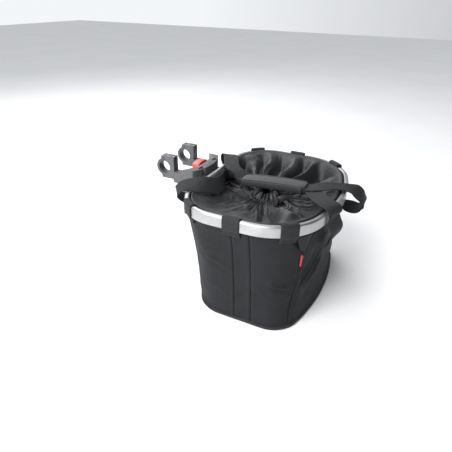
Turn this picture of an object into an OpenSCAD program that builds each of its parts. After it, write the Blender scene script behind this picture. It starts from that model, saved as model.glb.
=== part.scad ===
// Quick-release handlebar basket with its handlebar adapter.
// The origin is on the handlebar's axis, midway between the two clamps. +X runs
// along the handlebar, the basket hangs on the -Y side and +Z is up.

/* [Handlebar adapter] */
// Diameter of the handlebar that the clamps hold
bar_d = 25.4; // [22.2:0.1:26]
// Distance between the middles of the two clamps
clamp_spacing = 78; // [76:1:82]
// Width of each clamp along the handlebar
clamp_w = 16; // [14:1:18]
// Height of the curved front plate below the button's deck
plate_h = 85; // [80:1:95]
// How far the release button goes down
button_travel = 5; // [3:0.5:5]

/* [Rim] */
// Height of the rim's hollow profile
rim_h = 20.7; // [18:0.1:24]
// Thickness of the rim's profile
rim_t = 9; // [8:0.1:10]
// Wall thickness of the rim's profile
rim_wall = 1.5; // [1.2:0.1:2]
// Width of the webbing loops round the rim
loop_w = 30; // [25:1:35]

/* [Bag] */
// Height of the rim's top edge over the base
basket_h = 211; // [205:1:215]
// Thickness of the stiffened fabric walls
wall_t = 3; // [2:0.1:4]
// How far the walls draw in at half height
sag = 6; // [0:0.5:8]
// Thickness of the stiff floor board
board_t = 3; // [2:0.5:4]

/* [Cover and handle] */
// Radius of the gathered mouth, to the middle of its hem
mouth_r = 30; // [28:1:34]
// Length of the padded grip
grip_l = 124; // [115:1:130]
// Width of the handle straps
strap_w = 30; // [28:1:32]
// How far the cord lock's button goes in
lock_travel = 4; // [3:0.5:4]

/* [Hidden] */
$fn = 64;
gap = 0.3;              // clearance between soft or curved neighbours
slide_gap = 0.4;        // clearance each side of the hooks and the button

// The basket's own frame: its base is z = 0 and the rim's middle is x = y = 0.
bar_to_rim = 206;       // from the handlebar's axis to the rim's middle, along Y
bar_height = 217;       // the handlebar's axis over the basket's base

// Outlines: half width, front y, rear y, then the radii of the front, the front
// corners and the rear corners. All the arcs meet tangentially. The rim's front
// arcs meet on a line of slope 24 in 7, so that its pieces join exactly.
RIM = [175, -146, 117, 355, 105, 80];
BASE = [166, -132, 80, 500, 54, 60];

rim_bottom = basket_h - rim_h;
floor_t = 2.5;
wall_top = rim_bottom - 4.5;
wall_top_inset = 7;
// Seams, as outline places: 0 is the front's middle, 1 to 2 its corner, 2 to 3
// the side, 3 to 4 the rear corner and 5 the rear's middle. Each slants a little.
seam_base = 1.33;
seam_top = 1.22;
seam_rear = 3.6;
band_top = [1.98, 2.45];
band_base = [2.24, 2.62];
tag_z = 130;
tag_size = [5, 1.6, 22];

grip_y = -75;
grip_z = 213;            // at the front end
grip_drop = 8;          // how much lower the rear end is
grip_w = 34;
grip_h = 15;
strap_t = 1.8;

mouth = [-10, -2];       // middle of the gathered mouth
mouth_z = 182;
hem_r = 4;
cover_t = 1.6;
cover_crown = 212;      // on the midline; 2 lower on the right, 2 higher on the left
lock_turn = -118;       // where the cords leave the hem
lock_out = mouth_r + 13;
lock_z = 192.5;
lock_r = 7.5;
lock_l = 21;
cord_r = 1.5;

hook_x = 28;
hook_low = 150;         // lowest point of the hooks over the base
face_r = 104;           // radius of the adapter's curved front
face_y = -84;           // foremost point of the adapter
face_t = 18;
face_top = 5;
deck_top = -7;           // the level of the button's deck behind the curved wall
face_w = 108;
face_low = deck_top - plate_h;
bolt_z = 18;
clamp_h = 46;
bolt_r = 2.5;

plate_y = RIM[2] + gap; // front of the hook plate, in the basket's frame
plate_t = 3.7;
plate_low = 118;
plate_top = 206;
rivet_x = [-43, -20, 20, 43];
rivet_z = rim_bottom + rim_h / 2;
screw_x = [-43, 43];
screw_z = 130;

// Routes chosen by hand, in the basket's frame: [place, direction of the width].
// Each strap has a front and a rear arm, which end inside the grip.
RIGHT_FRONT = [
    [[-47, -138, 137], [0.95, -0.1, 0.3]], [[-52, -147, 152], [0.9, -0.3, 0.3]],
    [[-57, -152, 166], [0.9, -0.35, 0.3]], [[-62, -152, 178], [0.88, -0.38, 0.3]],
    [[-66, -148, 189], [0.88, -0.38, 0.3]], [[-68, -145.5, 199], [0.88, -0.35, 0.32]],
    [[-70, -147, 208], [0.86, -0.48, 0.15]], [[-70, -146, 214], [0.84, -0.52, 0.1]],
    [[-68.5, -140.5, 218.4], [0.81, -0.57, 0.1]],
    [[-63, -130.5, 219.8], [0.77, -0.62, 0.1]],
    [[-54, -120, 219.3], [0.72, -0.67, 0.1]], [[-42, -111, 217], [0.65, -0.75, 0.12]],
    [[-26, -101, 215], [0.6, -0.78, 0.08]], [[-14, -93.5, 213], [0.65, -0.74, 0.04]],
    [[-6.5, -86.5, 211.8], [0.8, -0.58, 0]], [[-3, -78, 211.4], [1, 0, 0]],
    [[-3, -70, 211.4], [1, 0, 0]]];
RIGHT_REAR = [
    [[-3, 42, 203.9], [1, 0, 0]], [[-3, 51, 203.2], [1, 0, 0]],
    [[-3, 59, 202.6], [0.97, 0, -0.25]], [[-4.5, 67, 202.8], [0.82, 0, -0.57]],
    [[-8.5, 74.5, 205], [0.62, 0.1, -0.76]], [[-16, 79.5, 208], [0.38, 0.05, -0.92]],
    [[-27, 80, 211], [0.12, -0.05, -1]], [[-40, 76, 212], [-0.1, -0.2, -0.97]],
    [[-54, 71, 212], [-0.2, -0.4, -0.88]], [[-70, 74, 212.5], [-0.45, -0.4, -0.8]],
    [[-86, 86, 217.5], [-0.6, -0.3, -0.72]], [[-97, 100, 219], [-0.7, -0.3, -0.6]],
    [[-104, 115, 218.5], [-0.8, -0.4, -0.4]], [[-110, 126, 216], [-0.8, -0.5, -0.25]],
    [[-113.5, 132, 211], [-0.78, -0.58, -0.2]],
    [[-113, 136, 203.5], [-0.8, -0.6, -0.1]],
    [[-107, 134, 195.5], [-0.88, -0.42, -0.05]], [[-99, 127, 187], [-0.97, -0.2, 0.05]],
    [[-93, 121, 178.5], [-1, -0.05, 0]], [[-90, 117.5, 171], [-1, 0, 0]]];
LEFT_FRONT = [
    [[46, -137, 175], [1, 0.1, 0.05]], [[48, -146, 171], [0.95, 0, 0.3]],
    [[51, -158, 169], [0.9, -0.05, 0.4]], [[54, -169, 170.5], [0.95, 0, 0.2]],
    [[54, -176, 178], [0.97, 0, 0.15]], [[49, -176, 188], [0.95, 0.1, 0.25]],
    [[44, -171, 198], [0.9, 0, 0.4]], [[38, -162, 207], [0.85, 0.05, 0.5]],
    [[34, -152, 212], [0.93, 0.2, 0.2]], [[30, -142, 214.5], [0.88, 0.4, 0.1]],
    [[26, -133, 216], [0.86, 0.5, 0.05]], [[16, -117, 218], [0.85, 0.5, 0.05]],
    [[5, -101, 217.5], [0.9, 0.35, 0.05]], [[-1, -89, 215.6], [1, 0.1, 0]],
    [[-3, -79, 214.6], [1, 0, 0]], [[-3, -70, 214.6], [1, 0, 0]]];
LEFT_REAR = [
    [[-3, 42, 207.1], [1, 0, 0]], [[-2.5, 51, 207.3], [0.99, -0.12, 0]],
    [[2.2, 60, 210.8], [0.94, -0.32, -0.06]], [[8.6, 70, 214.2], [0.87, -0.48, -0.1]],
    [[16, 80.5, 215.6], [0.78, -0.62, -0.1]], [[29, 91.5, 216.8], [0.6, -0.8, -0.06]],
    [[48, 102, 217.5], [0.47, -0.88, 0]], [[70, 113, 217.5], [0.45, -0.88, 0]],
    [[82, 122, 216], [0.5, -0.8, -0.12]], [[87, 129, 213.3], [0.6, -0.7, -0.13]],
    [[88, 131, 206], [0.7, -0.6, -0.15]], [[88, 130, 196], [0.85, -0.4, 0]],
    [[84, 122, 184], [0.95, -0.2, 0]], [[80, 118, 172], [1, 0, 0]]];
TAIL_NEAR = [
    [-36, -46.7, 192.5], [-39, -52, 191], [-44, -56, 190], [-51, -58, 190],
    [-59, -57, 190.5], [-66, -53, 191.5], [-71, -47, 192.5]];
TAIL_FAR = [
    [-32.5, -48.6, 192.5], [-35.5, -54.5, 190.8], [-41, -59.5, 190],
    [-49, -62.5, 190.2], [-59, -62.5, 190.8], [-68, -58.5, 192],
    [-75, -49, 193.8]];
KNOT = [-74, -46.5, 193.5];

// ---- outlines -------------------------------------------------------------

function blend(a, b, k) = a + (b - a) * k;
function spread(a, b, n) = [for (i = [0:n]) blend(a, b, i / n)];
function front_c(o) = [0, o[1] + o[3]];
function corner_c(o) =
    let (x = o[0] - o[4], d = o[3] - o[4])
    [x, o[1] + o[3] - sqrt(d * d - x * x)];
function front_sweep(o) = asin((o[0] - o[4]) / (o[3] - o[4]));
function rear_c(o) = [o[0] - o[5], o[2] - o[5]];
function on_arc(c, r, a) = c + r * [cos(a), sin(a)];

// The point at place t from 0 to 5 on an outline drawn in by inset. Places
// below 0 and over 5 run on round the other half.
function outline_at(o, inset, t) =
    t < 0 ? flip(outline_at(o, inset, -t)) :
    t > 5 ? flip(outline_at(o, inset, 10 - t)) :
    t < 1 ? on_arc(front_c(o), o[3] - inset, -90 + front_sweep(o) * t) :
    t < 2 ? on_arc(corner_c(o), o[4] - inset,
        blend(-90 + front_sweep(o), 0, t - 1)) :
    t < 3 ? [o[0] - inset, blend(corner_c(o).y, rear_c(o).y, t - 2)] :
    t < 4 ? on_arc(rear_c(o), o[5] - inset, 90 * (t - 3)) :
    [rear_c(o).x * (5 - t), o[2] - inset];
function flip(p) = [-p.x, p.y];
function ring_places() = concat(spread(0, 1, 4), tail(spread(1, 2, 6)),
    tail(spread(2, 3, 4)), tail(spread(3, 4, 6)), tail(spread(4, 5, 4)));
function tail(v) = [for (i = [1:len(v) - 1]) v[i]];
function all_round() = concat(ring_places(),
    [for (i = [len(ring_places()) - 2:-1:1]) 10 - ring_places()[i]]);

// The walls draw in at half height, less towards the flat rear.
function sag_at(t) =
    let (h = t > 5 ? 10 - t : abs(t))
    sag * (h < 3 ? 1 : max(0, 4 - h));

// A point of the wall at height share s, from the base (0) to under the rim (1).
function wall_point(s, inset, base_t, top_t) =
    let (draw = sag_at(base_t) * 4 * s * (1 - s),
        p = outline_at(BASE, inset + draw, base_t),
        q = outline_at(RIM, inset + draw + wall_top_inset, top_t))
    concat(blend(p, q, s), [blend(floor_t, wall_top, s)]);

// ---- sweeps ---------------------------------------------------------------

// Triangles that close a ring's end, zipped from its middle edge to its ends.
function zip(n, first, flip_over) =
    [for (j = [0:n / 2 - 2], half = [0, 1])
        let (a = first + j, b = first + n - 2 - j,
            c = half == 0 ? first + j + 1 : first + n - 1 - j)
        (half == 0) == flip_over ? [a, b, c] : [a, c, b]];

// A closed solid from rings of points that all have the same, even count.
module skin(rings, closed = false) {
    n = len(rings[0]);
    m = len(rings);
    last = closed ? m - 1 : m - 2;
    walls = [for (i = [0:last], j = [0:n - 1])
        let (a = i * n + j, b = i * n + (j + 1) % n,
            c = ((i + 1) % m) * n + (j + 1) % n, d = ((i + 1) % m) * n + j)
        each [[a, b, c], [a, c, d]]];
    caps = closed ? [] : concat(zip(n, 0, true), zip(n, (m - 1) * n, false));
    polyhedron([for (r = rings, p = r) p], concat(walls, caps), convexity = 8);
}

function unit(v) = v / norm(v);
function along(path, i) =
    unit(path[min(i + 1, len(path) - 1)] - path[max(i - 1, 0)]);

// A round cord along a path of points.
module tube(path, r, sides = 8) {
    skin([for (i = [0:len(path) - 1])
        let (d = along(path, i),
            u = unit(cross(d, abs(d.z) > 0.8 ? [1, 0, 0] : [0, 0, 1])),
            v = cross(d, u))
        [for (k = [0:sides - 1])
            path[i] + r * (cos(-360 * k / sides) * u
                + sin(-360 * k / sides) * v)]]);
}

// A flat strap along a route of [place, direction of the width].
module ribbon(route, w, t) {
    path = [for (step = route) step[0]];
    skin([for (i = [0:len(path) - 1])
        let (d = along(path, i), across = unit(route[i][1]),
            side = unit(across - d * (across * d)), up = cross(side, d),
            a = side * w / 2, b = up * t / 2)
        [path[i] - a + b, path[i] + b, path[i] + a + b, path[i] + a - b,
            path[i] - b, path[i] - a - b]]);
}

// A stretch of wall between two seams.
module wall_panel(base_t, top_t, n, rows = 4) {
    skin([for (k = [0:n])
        let (b = blend(base_t[0], base_t[1], k / n),
            c = blend(top_t[0], top_t[1], k / n))
        concat([for (i = [0:rows]) wall_point(i / rows, 0, b, c)],
            [for (i = [rows:-1:0]) wall_point(i / rows, wall_t, b, c)])]);
}

// A helical spring that stands on z = 0.
module helix(r, wire, h, turns) {
    steps = turns * 12;
    tube([for (i = [0:steps]) [r * cos(i * 30), r * sin(i * 30),
        wire + (h - 2 * wire) * i / steps]], wire, 6);
}

module at_basket() translate([0, -bar_to_rim, -bar_height]) children();
module mirrored(side) mirror([side < 0 ? 1 : 0, 0, 0]) children();
module along_y(x, z, y, l, r)
    translate([x, y, z]) rotate([-90, 0, 0]) cylinder(r = r, h = l);

// ---- handlebar adapter ----------------------------------------------------

module face_plate(inset, low, high) {
    translate([0, 0, low]) linear_extrude(high - low) intersection() {
        difference() {
            translate([0, face_y + face_r]) circle(face_r - inset, $fn = 180);
            translate([0, face_y + face_r]) circle(face_r - face_t, $fn = 180);
        }
        translate([-face_w / 2, face_y - 1]) square([face_w, 60]);
    }
}

module hook_slots() {
    low = hook_low - bar_height - 1;
    top = face_top + 1;
    y = plate_y - bar_to_rim + plate_t;
    for (side = [-1, 1]) translate([side * hook_x, 0, 0]) {
        translate([-3 - slide_gap, y - 5, low])
            cube([6 + 2 * slide_gap, 16, top - low]);
        translate([-7 - slide_gap, y + 10 - slide_gap, low])
            cube([14 + 2 * slide_gap, 4 + 2 * slide_gap, top - low]);
    }
}

module clamp_half(y0, y1) {
    for (side = [-1, 1]) translate([side * clamp_spacing / 2, 0, 0])
        translate([-clamp_w / 2, y0, -clamp_h / 2])
            cube([clamp_w, y1 - y0, clamp_h]);
}

module bar_and_bolts(side) {
    translate([side * clamp_spacing / 2 - clamp_w, 0, 0])
        rotate([0, 90, 0]) cylinder(d = bar_d, h = 2 * clamp_w);
    for (z = [-bolt_z, bolt_z])
        along_y(side * clamp_spacing / 2, z, -30, 60, bolt_r + 0.2);
}

module adapter_body() {
    color("#46484a") difference() {
        union() {
            face_plate(0, face_low, face_top);
            clamp_half(-22, -0.5);
            for (side = [-1, 1]) translate([side * clamp_spacing / 2, 0, 0])
                translate([-clamp_w / 2, -70, -30])
                    cube([clamp_w, 50, 30 + deck_top]);
            translate([-27, -68, -64]) cube([54, 26, 64 - 12]);
        }
        for (side = [-1, 1]) bar_and_bolts(side);
        for (side = [-1, 1], z = [-bolt_z, bolt_z])
            translate([side * clamp_spacing / 2 - 4.2, -19, z - 4.2])
                cube([8.4, 4, 8.4 + 10]);
        hook_slots();
        // The button's well, the spring's pocket and the latch's window.
        translate([-18, -62, -36]) cube([36, 15, 40]);
        translate([0, -54.5, -58]) cylinder(r = 6, h = 30);
        translate([-9, -90, -58]) cube([18, 29, 10]);
        translate([-9, -66, -58]) cube([18, 5, 40]);
        translate([-9, -90, -50]) cube([18, 29, 12]);
    }
}

module clamp_cap(side) {
    color("#3d3f41") difference() {
        intersection() {
            clamp_half(0.5, 20);
            translate([side * 100 - 100, -1, -50]) cube([200, 60, 100]);
            translate([-100, 0, 0]) rotate([0, 90, 0]) union() {
                cylinder(r = 18, h = 200);
                translate([-clamp_h / 2, 0, 0]) cube([clamp_h, 7, 200]);
            }
        }
        bar_and_bolts(side);
        for (z = [-bolt_z, bolt_z])
            along_y(side * clamp_spacing / 2, z, 7, 20, 4.6);
    }
}

module clamp_bolts() {
    color("#909498") for (side = [-1, 1], z = [-bolt_z, bolt_z]) difference() {
        union() {
            along_y(side * clamp_spacing / 2, z, -20, 27.1, bolt_r);
            along_y(side * clamp_spacing / 2, z, 7.1, 5, 4.25);
        }
        translate([side * clamp_spacing / 2, 13, z]) rotate([90, 30, 0])
            cylinder(r = 2.3, h = 3.5, $fn = 6);
    }
}

module clamp_nuts() {
    color("#909498") for (side = [-1, 1], z = [-bolt_z, bolt_z]) difference() {
        translate([side * clamp_spacing / 2 - 4, -18.8, z - 4])
            cube([8, 3.6, 8]);
        along_y(side * clamp_spacing / 2, z, -30, 30, bolt_r);
    }
}

module release_button() {
    color("#e0443e") difference() {
        union() {
            translate([-17.6, -61.6, -26]) cube([35.2, 14.2, 26]);
            translate([0, -54.5, 0]) intersection() {
                translate([-17.6, -7.1, -0.5]) cube([35.2, 14.2, 9]);
                translate([0, 0, -46]) rotate([90, 0, 0])
                    cylinder(r = 54, h = 20, center = true, $fn = 96);
            }
        }
        translate([0, -54.5, -27]) cylinder(r = 5.6, h = 12);
        translate([-14, -59, -27]) cube([7, 9, 15]);
        translate([7, -59, -27]) cube([7, 9, 15]);
    }
}

module button_spring()
    color("#b8bcc0") translate([0, -54.5, -57.8]) helix(4.6, 0.5, 42.6, 7);

module latch_tongue() {
    color("#55585a") {
        translate([-8, -63.4, -57.6]) cube([16, 1.4, 34]);
        translate([-8, -87.4, -47.6]) cube([16, 24, 7]);
    }
}

// ---- what hangs the basket on the adapter, in the basket's frame -----------

module hook_plate() {
    color("#3d3f41") difference() {
        union() {
            translate([-52, plate_y, plate_low])
                cube([104, plate_t, plate_top - plate_low]);
            for (side = [-1, 1]) translate([side * hook_x, 0, 0]) {
                translate([-3, plate_y + plate_t - 1, hook_low])
                    cube([6, 12, plate_top - hook_low]);
                translate([-7, plate_y + plate_t + 10, hook_low])
                    cube([14, 4, plate_top - hook_low]);
            }
            for (x = screw_x)
                along_y(x, screw_z, plate_y - 14.5, 15, 7);
        }
        for (x = screw_x) along_y(x, screw_z, 60, 90, bolt_r + 0.2);
        for (x = rivet_x) along_y(x, rivet_z, 60, 90, 2.05);
        translate([-10, plate_y - 1, bar_height - 50])
            cube([20, 10, 12]);
    }
}

// Follows the flat rear wall's slope.
module rear_slope(y0) {
    slope = atan((RIM[2] - wall_top_inset - BASE[2]) / (wall_top - floor_t));
    translate([0, BASE[2] + y0, floor_t]) rotate([-slope, 0, 0]) children();
}

module plate_holes()
    for (x = screw_x) along_y(x, screw_z, 60, 60, bolt_r + 0.2);

module backing_plate() {
    color("#2c2d2f") difference() {
        rear_slope(-wall_t - 2.3) translate([-52, 0, 96]) cube([104, 2, 66]);
        plate_holes();
    }
}

module plate_screws() {
    color("#909498") for (x = screw_x) difference() {
        union() {
            along_y(x, screw_z, 93, 34, bolt_r);
            along_y(x, screw_z, 89, 4, 4.6);
        }
        along_y(x, screw_z, 88, 3, 1.6);
    }
}

module plate_nuts() {
    color("#909498") for (x = screw_x) difference() {
        translate([x, plate_y + plate_t + 0.05, screw_z]) rotate([-90, 0, 0])
            cylinder(r = 4.6, h = 4, $fn = 6);
        along_y(x, screw_z, 60, 90, bolt_r);
    }
}

module rim_rivets() {
    color("#b0b4b8") for (x = rivet_x) {
        along_y(x, rivet_z, RIM[2] - rim_t - 0.5, rim_t + plate_t + 1, 2);
        along_y(x, rivet_z, RIM[2] - rim_t - 1.6, 1.6, 4);
        along_y(x, rivet_z, plate_y + plate_t, 1.4, 4);
    }
}

// ---- rim ------------------------------------------------------------------

module rounded(w, h, r, top_r) {
    translate([r, 0]) square([w - 2 * r, h / 2]);
    translate([0, r]) square([w, h - r - top_r]);
    translate([top_r, h / 2]) square([w - 2 * top_r, h / 2]);
    for (x = [r, w - r]) translate([x, r]) circle(r, $fn = 24);
    for (x = [top_r, w - top_r]) translate([x, h - top_r]) circle(top_r, $fn = 32);
}

// The rim's section with its outer face on x = 0 and its bottom on y = 0.
module rim_section() {
    difference() {
        translate([-rim_t, 0]) rounded(rim_t, rim_h, 0.8, 3.2);
        translate([-rim_t + rim_wall, rim_wall])
            square([rim_t - 2 * rim_wall, rim_h - 2 * rim_wall - 1.8]);
    }
}

module loop_section() {
    difference() {
        translate([-rim_t - 1.8, -1.8]) rounded(rim_t + 3.6, rim_h + 3.6, 1.2, 4.6);
        translate([-rim_t - gap, -gap])
            rounded(rim_t + 2 * gap, rim_h + 2 * gap, 0.8, 3.3);
    }
    translate([-5.9, -13]) square([1.4, 11.5]);
}

// The section turned round c and kept between two directions.
module arc_piece(c, r, from, to)
    translate([c.x, c.y, rim_bottom]) intersection() {
        rotate_extrude($fn = 240) translate([r, 0]) children();
        translate([0, 0, -2 * rim_h]) linear_extrude(4 * rim_h)
            polygon([[0, 0], 1000 * from, 1000 * (from + to), 1000 * to]);
    }

module straight_piece(x, y0, y1)
    translate([x, y1, rim_bottom]) rotate([90, 0, 0])
        linear_extrude(y1 - y0) children();

module rim_frame() {
    join = unit(corner_c(RIM) - front_c(RIM));
    color("#d4d6d8") difference() {
        union() {
            arc_piece(front_c(RIM), RIM[3], flip(join), join) rim_section();
            for (side = [-1, 1]) mirrored(side) {
                arc_piece(corner_c(RIM), RIM[4], join, [1, 0]) rim_section();
                straight_piece(RIM[0], corner_c(RIM).y, rear_c(RIM).y)
                    rim_section();
                arc_piece(rear_c(RIM), RIM[5], [1, 0], [0, 1]) rim_section();
                translate([0.2, RIM[2], rim_bottom]) rotate([90, 0, 90])
                    linear_extrude(rear_c(RIM).x - 0.2) rim_section();
            }
        }
        for (x = rivet_x) along_y(x, rivet_z, 60, 90, 2.05);
    }
}

module rim_joiner() {
    room = rim_t - 2 * rim_wall - 0.4;
    color("#8c9094") difference() {
        translate([-50, RIM[2] - rim_wall - 0.2 - room, rim_bottom + rim_wall + 0.2])
            cube([100, room, rim_h - 2 * rim_wall - 2.2]);
        for (x = rivet_x) along_y(x, rivet_z, 60, 90, 2.05);
    }
}

// A webbing loop on a corner arc, centred on angle a.
module corner_loop(c, r, a) {
    half = loop_w / r * 90 / PI;
    color("#303133") arc_piece(c, r, [cos(a - half), sin(a - half)],
        [cos(a + half), sin(a + half)]) loop_section();
}

module rim_loop_front(side)
    mirrored(side) corner_loop(corner_c(RIM), RIM[4], -39);
module rim_loop_rear(side)
    mirrored(side) corner_loop(rear_c(RIM), RIM[5], 39);
module rim_loop_mid(side)
    color("#303133") mirrored(side)
        straight_piece(RIM[0], -19, -19 + loop_w) loop_section();

// ---- bag ------------------------------------------------------------------

module front_panel() color("#2b2c2e")
    wall_panel([-seam_base, seam_base], [-seam_top, seam_top], 14);

module rear_panel() {
    color("#2b2c2e") difference() {
        wall_panel([seam_rear, 10 - seam_rear], [seam_rear, 10 - seam_rear], 14);
        plate_holes();
    }
}

module side_front(side) color("#2b2c2e") mirrored(side)
    wall_panel([seam_base, band_base[0]], [seam_top, band_top[0]], 7);

module side_band(side) color("#333436") mirrored(side)
    wall_panel(band_base, band_top, 2);

module side_rear(side) color("#2b2c2e") mirrored(side)
    wall_panel([band_base[1], seam_rear], [band_top[1], seam_rear], 8);

module base_outline(inset)
    polygon([for (t = all_round()) outline_at(BASE, inset, t)]);

module base_panel() color("#262729") linear_extrude(floor_t - 0.05)
    base_outline(0.2);

module base_board() color("#3a3b3d") translate([0, 0, floor_t])
    linear_extrude(board_t) base_outline(wall_t + 3);

module base_binding() {
    lip = 0.024;
    color("#1e1f20") skin([for (t = all_round())
        [wall_point(0, -2, t, t), wall_point(lip, -2, t, t),
            wall_point(lip, -0.6, t, t), wall_point(0, -0.6, t, t)]],
        closed = true);
}

module side_tag() {
    s = (tag_z - floor_t) / (wall_top - floor_t);
    p = wall_point(s, 0, seam_base, seam_top);
    turn = blend(-90 + front_sweep(RIM), 0, seam_top - 1);
    color("#c03a34") mirror([1, 0, 0]) translate([p.x, p.y, tag_z])
        rotate([0, 0, turn]) translate([2.4, -tag_size.y / 2, 0]) cube(tag_size);
}

// ---- cover and drawstring -------------------------------------------------

// Height of the cover at share q of the way from the crown to the mouth.
function cover_z(q, x) =
    mouth_z + 2 + (cover_crown + 2 * x / RIM[0] - mouth_z - 2) * pow(1 - q, 4.1);
function mouth_point(t) =
    let (p = outline_at(RIM, 30, t), d = unit(p - mouth))
    mouth + d * (mouth_r + hem_r + gap);
function cover_point(q, t, lift) =
    concat(blend(outline_at(RIM, rim_t + 5, t), mouth_point(t), q),
        [cover_z(q, outline_at(RIM, rim_t + 5, t).x) + lift]);
function collar_point(t, inset, z) = concat(outline_at(RIM, rim_t + inset, t), [z]);

module cover() {
    shares = [0, 0.06, 0.14, 0.24, 0.36, 0.6, 1];
    color("#3a3c40") skin([for (t = all_round())
        concat([collar_point(t, 2.4, rim_bottom - 2)],
            [collar_point(t, 2.6, basket_h - 3)],
            [for (q = shares) cover_point(q, t, 0)],
            [for (i = [len(shares) - 1:-1:0])
                cover_point(shares[i], t, -cover_t)],
            [collar_point(t, 4.2, basket_h - 4)],
            [collar_point(t, 4, rim_bottom - 2)])], closed = true);
}

function hem_gap() = 14;

module at_mouth(turn = 0)
    translate([mouth.x, mouth.y, mouth_z]) rotate([0, 0, lock_turn + turn])
        children();

module mouth_hem() color("#36383c") at_mouth(hem_gap())
    rotate_extrude(angle = 360 - 2 * hem_gap(), $fn = 96)
        translate([mouth_r, 0]) difference() {
            circle(hem_r, $fn = 24);
            circle(cord_r + 0.9, $fn = 24);
        }

// The cord runs all round inside the hem and both ends leave through the lock.
module drawstring() {
    lift = lock_z - mouth_z;
    ends = [[lock_out + lock_r + 1, 2, lift], [lock_out, 2, lift],
        [lock_out - lock_r - 0.5, 2, lift - 0.5], [mouth_r + 2.5, 3.5, 5.5],
        [mouth_r + 0.5, 5.5, 1.8]];
    ring = [for (a = [hem_gap():12:360 - hem_gap()])
        [mouth_r * cos(a), mouth_r * sin(a), 0]];
    back = [for (i = [len(ends) - 1:-1:0]) [ends[i].x, -ends[i].y, ends[i].z]];
    color("#1c1d1e") at_mouth() tube(concat(ends, ring, back), cord_r, 8);
}

// The lock lies on its side: its own z axis points out of the button's end.
module at_lock() at_mouth() translate([lock_out, 0, lock_z - mouth_z])
    rotate([90, 0, 0]) children();

module lock_body_shape() {
    difference() {
        union() {
            translate([0, 0, -lock_l / 2]) cylinder(r = lock_r, h = lock_l);
            translate([0, 0, -lock_l / 2 - 1]) cylinder(r = lock_r - 1, h = 2);
        }
        translate([0, 0, -lock_l / 2 + 1.2]) cylinder(r = 6, h = lock_l);
        cord_slot(0);
    }
}

module cord_slot(extra)
    translate([-12, -2, -4]) cube([24, 4, 8 + extra]);

module cord_lock_body() color("#242526") at_lock() lock_body_shape();

module cord_lock_button() color("#2e2f31") at_lock() difference() {
    union() {
        translate([0, 0, -5])
            cylinder(r = 5.94, h = lock_l / 2 + lock_travel + 6);
        translate([0, 0, lock_l / 2 + lock_travel + 0.5])
            cylinder(r = 7.2, h = 3);
    }
    cord_slot(lock_travel);
}

module cord_lock_spring() color("#b8bcc0") at_lock()
    translate([0, 0, -lock_l / 2 + 1.2]) helix(4, 0.35, lock_l / 2 - 6.3, 3);

module drawstring_tail(route) color("#1c1d1e") tube(smooth(route), cord_r, 8);

// A path through a route's points, with three points between each pair.
function smooth(p) = [for (i = [0:len(p) - 2], k = [0:3])
        curve(p, i, k / 4), p[len(p) - 1]];
function curve(p, i, k) =
    let (a = p[max(i - 1, 0)], b = p[i], c = p[i + 1],
        d = p[min(i + 2, len(p) - 1)])
    0.5 * ((2 * b) + (c - a) * k + (2 * a - 5 * b + 4 * c - d) * k * k
        + (3 * b - a - 3 * c + d) * k * k * k);

module drawstring_knot() color("#1c1d1e") translate(KNOT) sphere(r = 3.4, $fn = 32);

// ---- handle ---------------------------------------------------------------

function fine(route) =
    let (places = smooth([for (step = route) step[0]]),
        widths = smooth([for (step = route) step[1]]))
    [for (i = [0:len(places) - 1]) [places[i], widths[i]]];
module handle_strap(front, rear)
    color("#2a2b2d") ribbon(concat(fine(front), fine(rear)), strap_w, strap_t);

module grip_section(w, h) {
    r = min(w, h) / 2 - 0.5;
    for (x = [-w / 2 + r, w / 2 - r], z = [-h / 2 + r, h / 2 - r])
        translate([x, z]) circle(r, $fn = 48);
    square([w - 2 * r, h], center = true);
    square([w, h - 2 * r], center = true);
}

module along_grip() translate([-3, grip_y, grip_z])
    rotate([-90 - asin(grip_drop / grip_l), 0, 0]) mirror([0, 1, 0])
        linear_extrude(grip_l) children();

module carry_grip() color("#5c5f62") along_grip() difference() {
    grip_section(grip_w, grip_h);
    square([strap_w + 2, 6], center = true);
}

module grip_closure() color("#4a4c4f") along_grip() difference() {
    intersection() {
        grip_section(grip_w + 3.6, grip_h + 3.6);
        rotate(200) square([40, 40]);
    }
    grip_section(grip_w + 0.4, grip_h + 0.4);
}

adapter_body();
clamp_cap(1);  // clamp_cap_left
clamp_cap(-1);  // clamp_cap_right
clamp_bolts();
clamp_nuts();
release_button();
button_spring();
latch_tongue();
at_basket() hook_plate();
at_basket() backing_plate();
at_basket() plate_screws();
at_basket() plate_nuts();
at_basket() rim_rivets();
at_basket() rim_frame();
at_basket() rim_joiner();
at_basket() front_panel();
at_basket() rear_panel();
at_basket() side_front(1);  // side_front_left
at_basket() side_front(-1);  // side_front_right
at_basket() side_band(1);  // side_band_left
at_basket() side_band(-1);  // side_band_right
at_basket() side_rear(1);  // side_rear_left
at_basket() side_rear(-1);  // side_rear_right
at_basket() base_panel();
at_basket() base_board();
at_basket() base_binding();
at_basket() rim_loop_front(1);  // rim_loop_front_left
at_basket() rim_loop_front(-1);  // rim_loop_front_right
at_basket() rim_loop_mid(1);  // rim_loop_mid_left
at_basket() rim_loop_mid(-1);  // rim_loop_mid_right
at_basket() rim_loop_rear(1);  // rim_loop_rear_left
at_basket() rim_loop_rear(-1);  // rim_loop_rear_right
at_basket() side_tag();
at_basket() cover();
at_basket() mouth_hem();
at_basket() drawstring();
at_basket() cord_lock_body();
at_basket() cord_lock_button();
at_basket() cord_lock_spring();
at_basket() drawstring_tail(TAIL_NEAR);  // drawstring_tail_near
at_basket() drawstring_tail(TAIL_FAR);  // drawstring_tail_far
at_basket() drawstring_knot();
at_basket() handle_strap(LEFT_FRONT, LEFT_REAR);  // handle_strap_left
at_basket() handle_strap(RIGHT_FRONT, RIGHT_REAR);  // handle_strap_right
at_basket() carry_grip();
at_basket() grip_closure();
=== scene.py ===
import math

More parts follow.
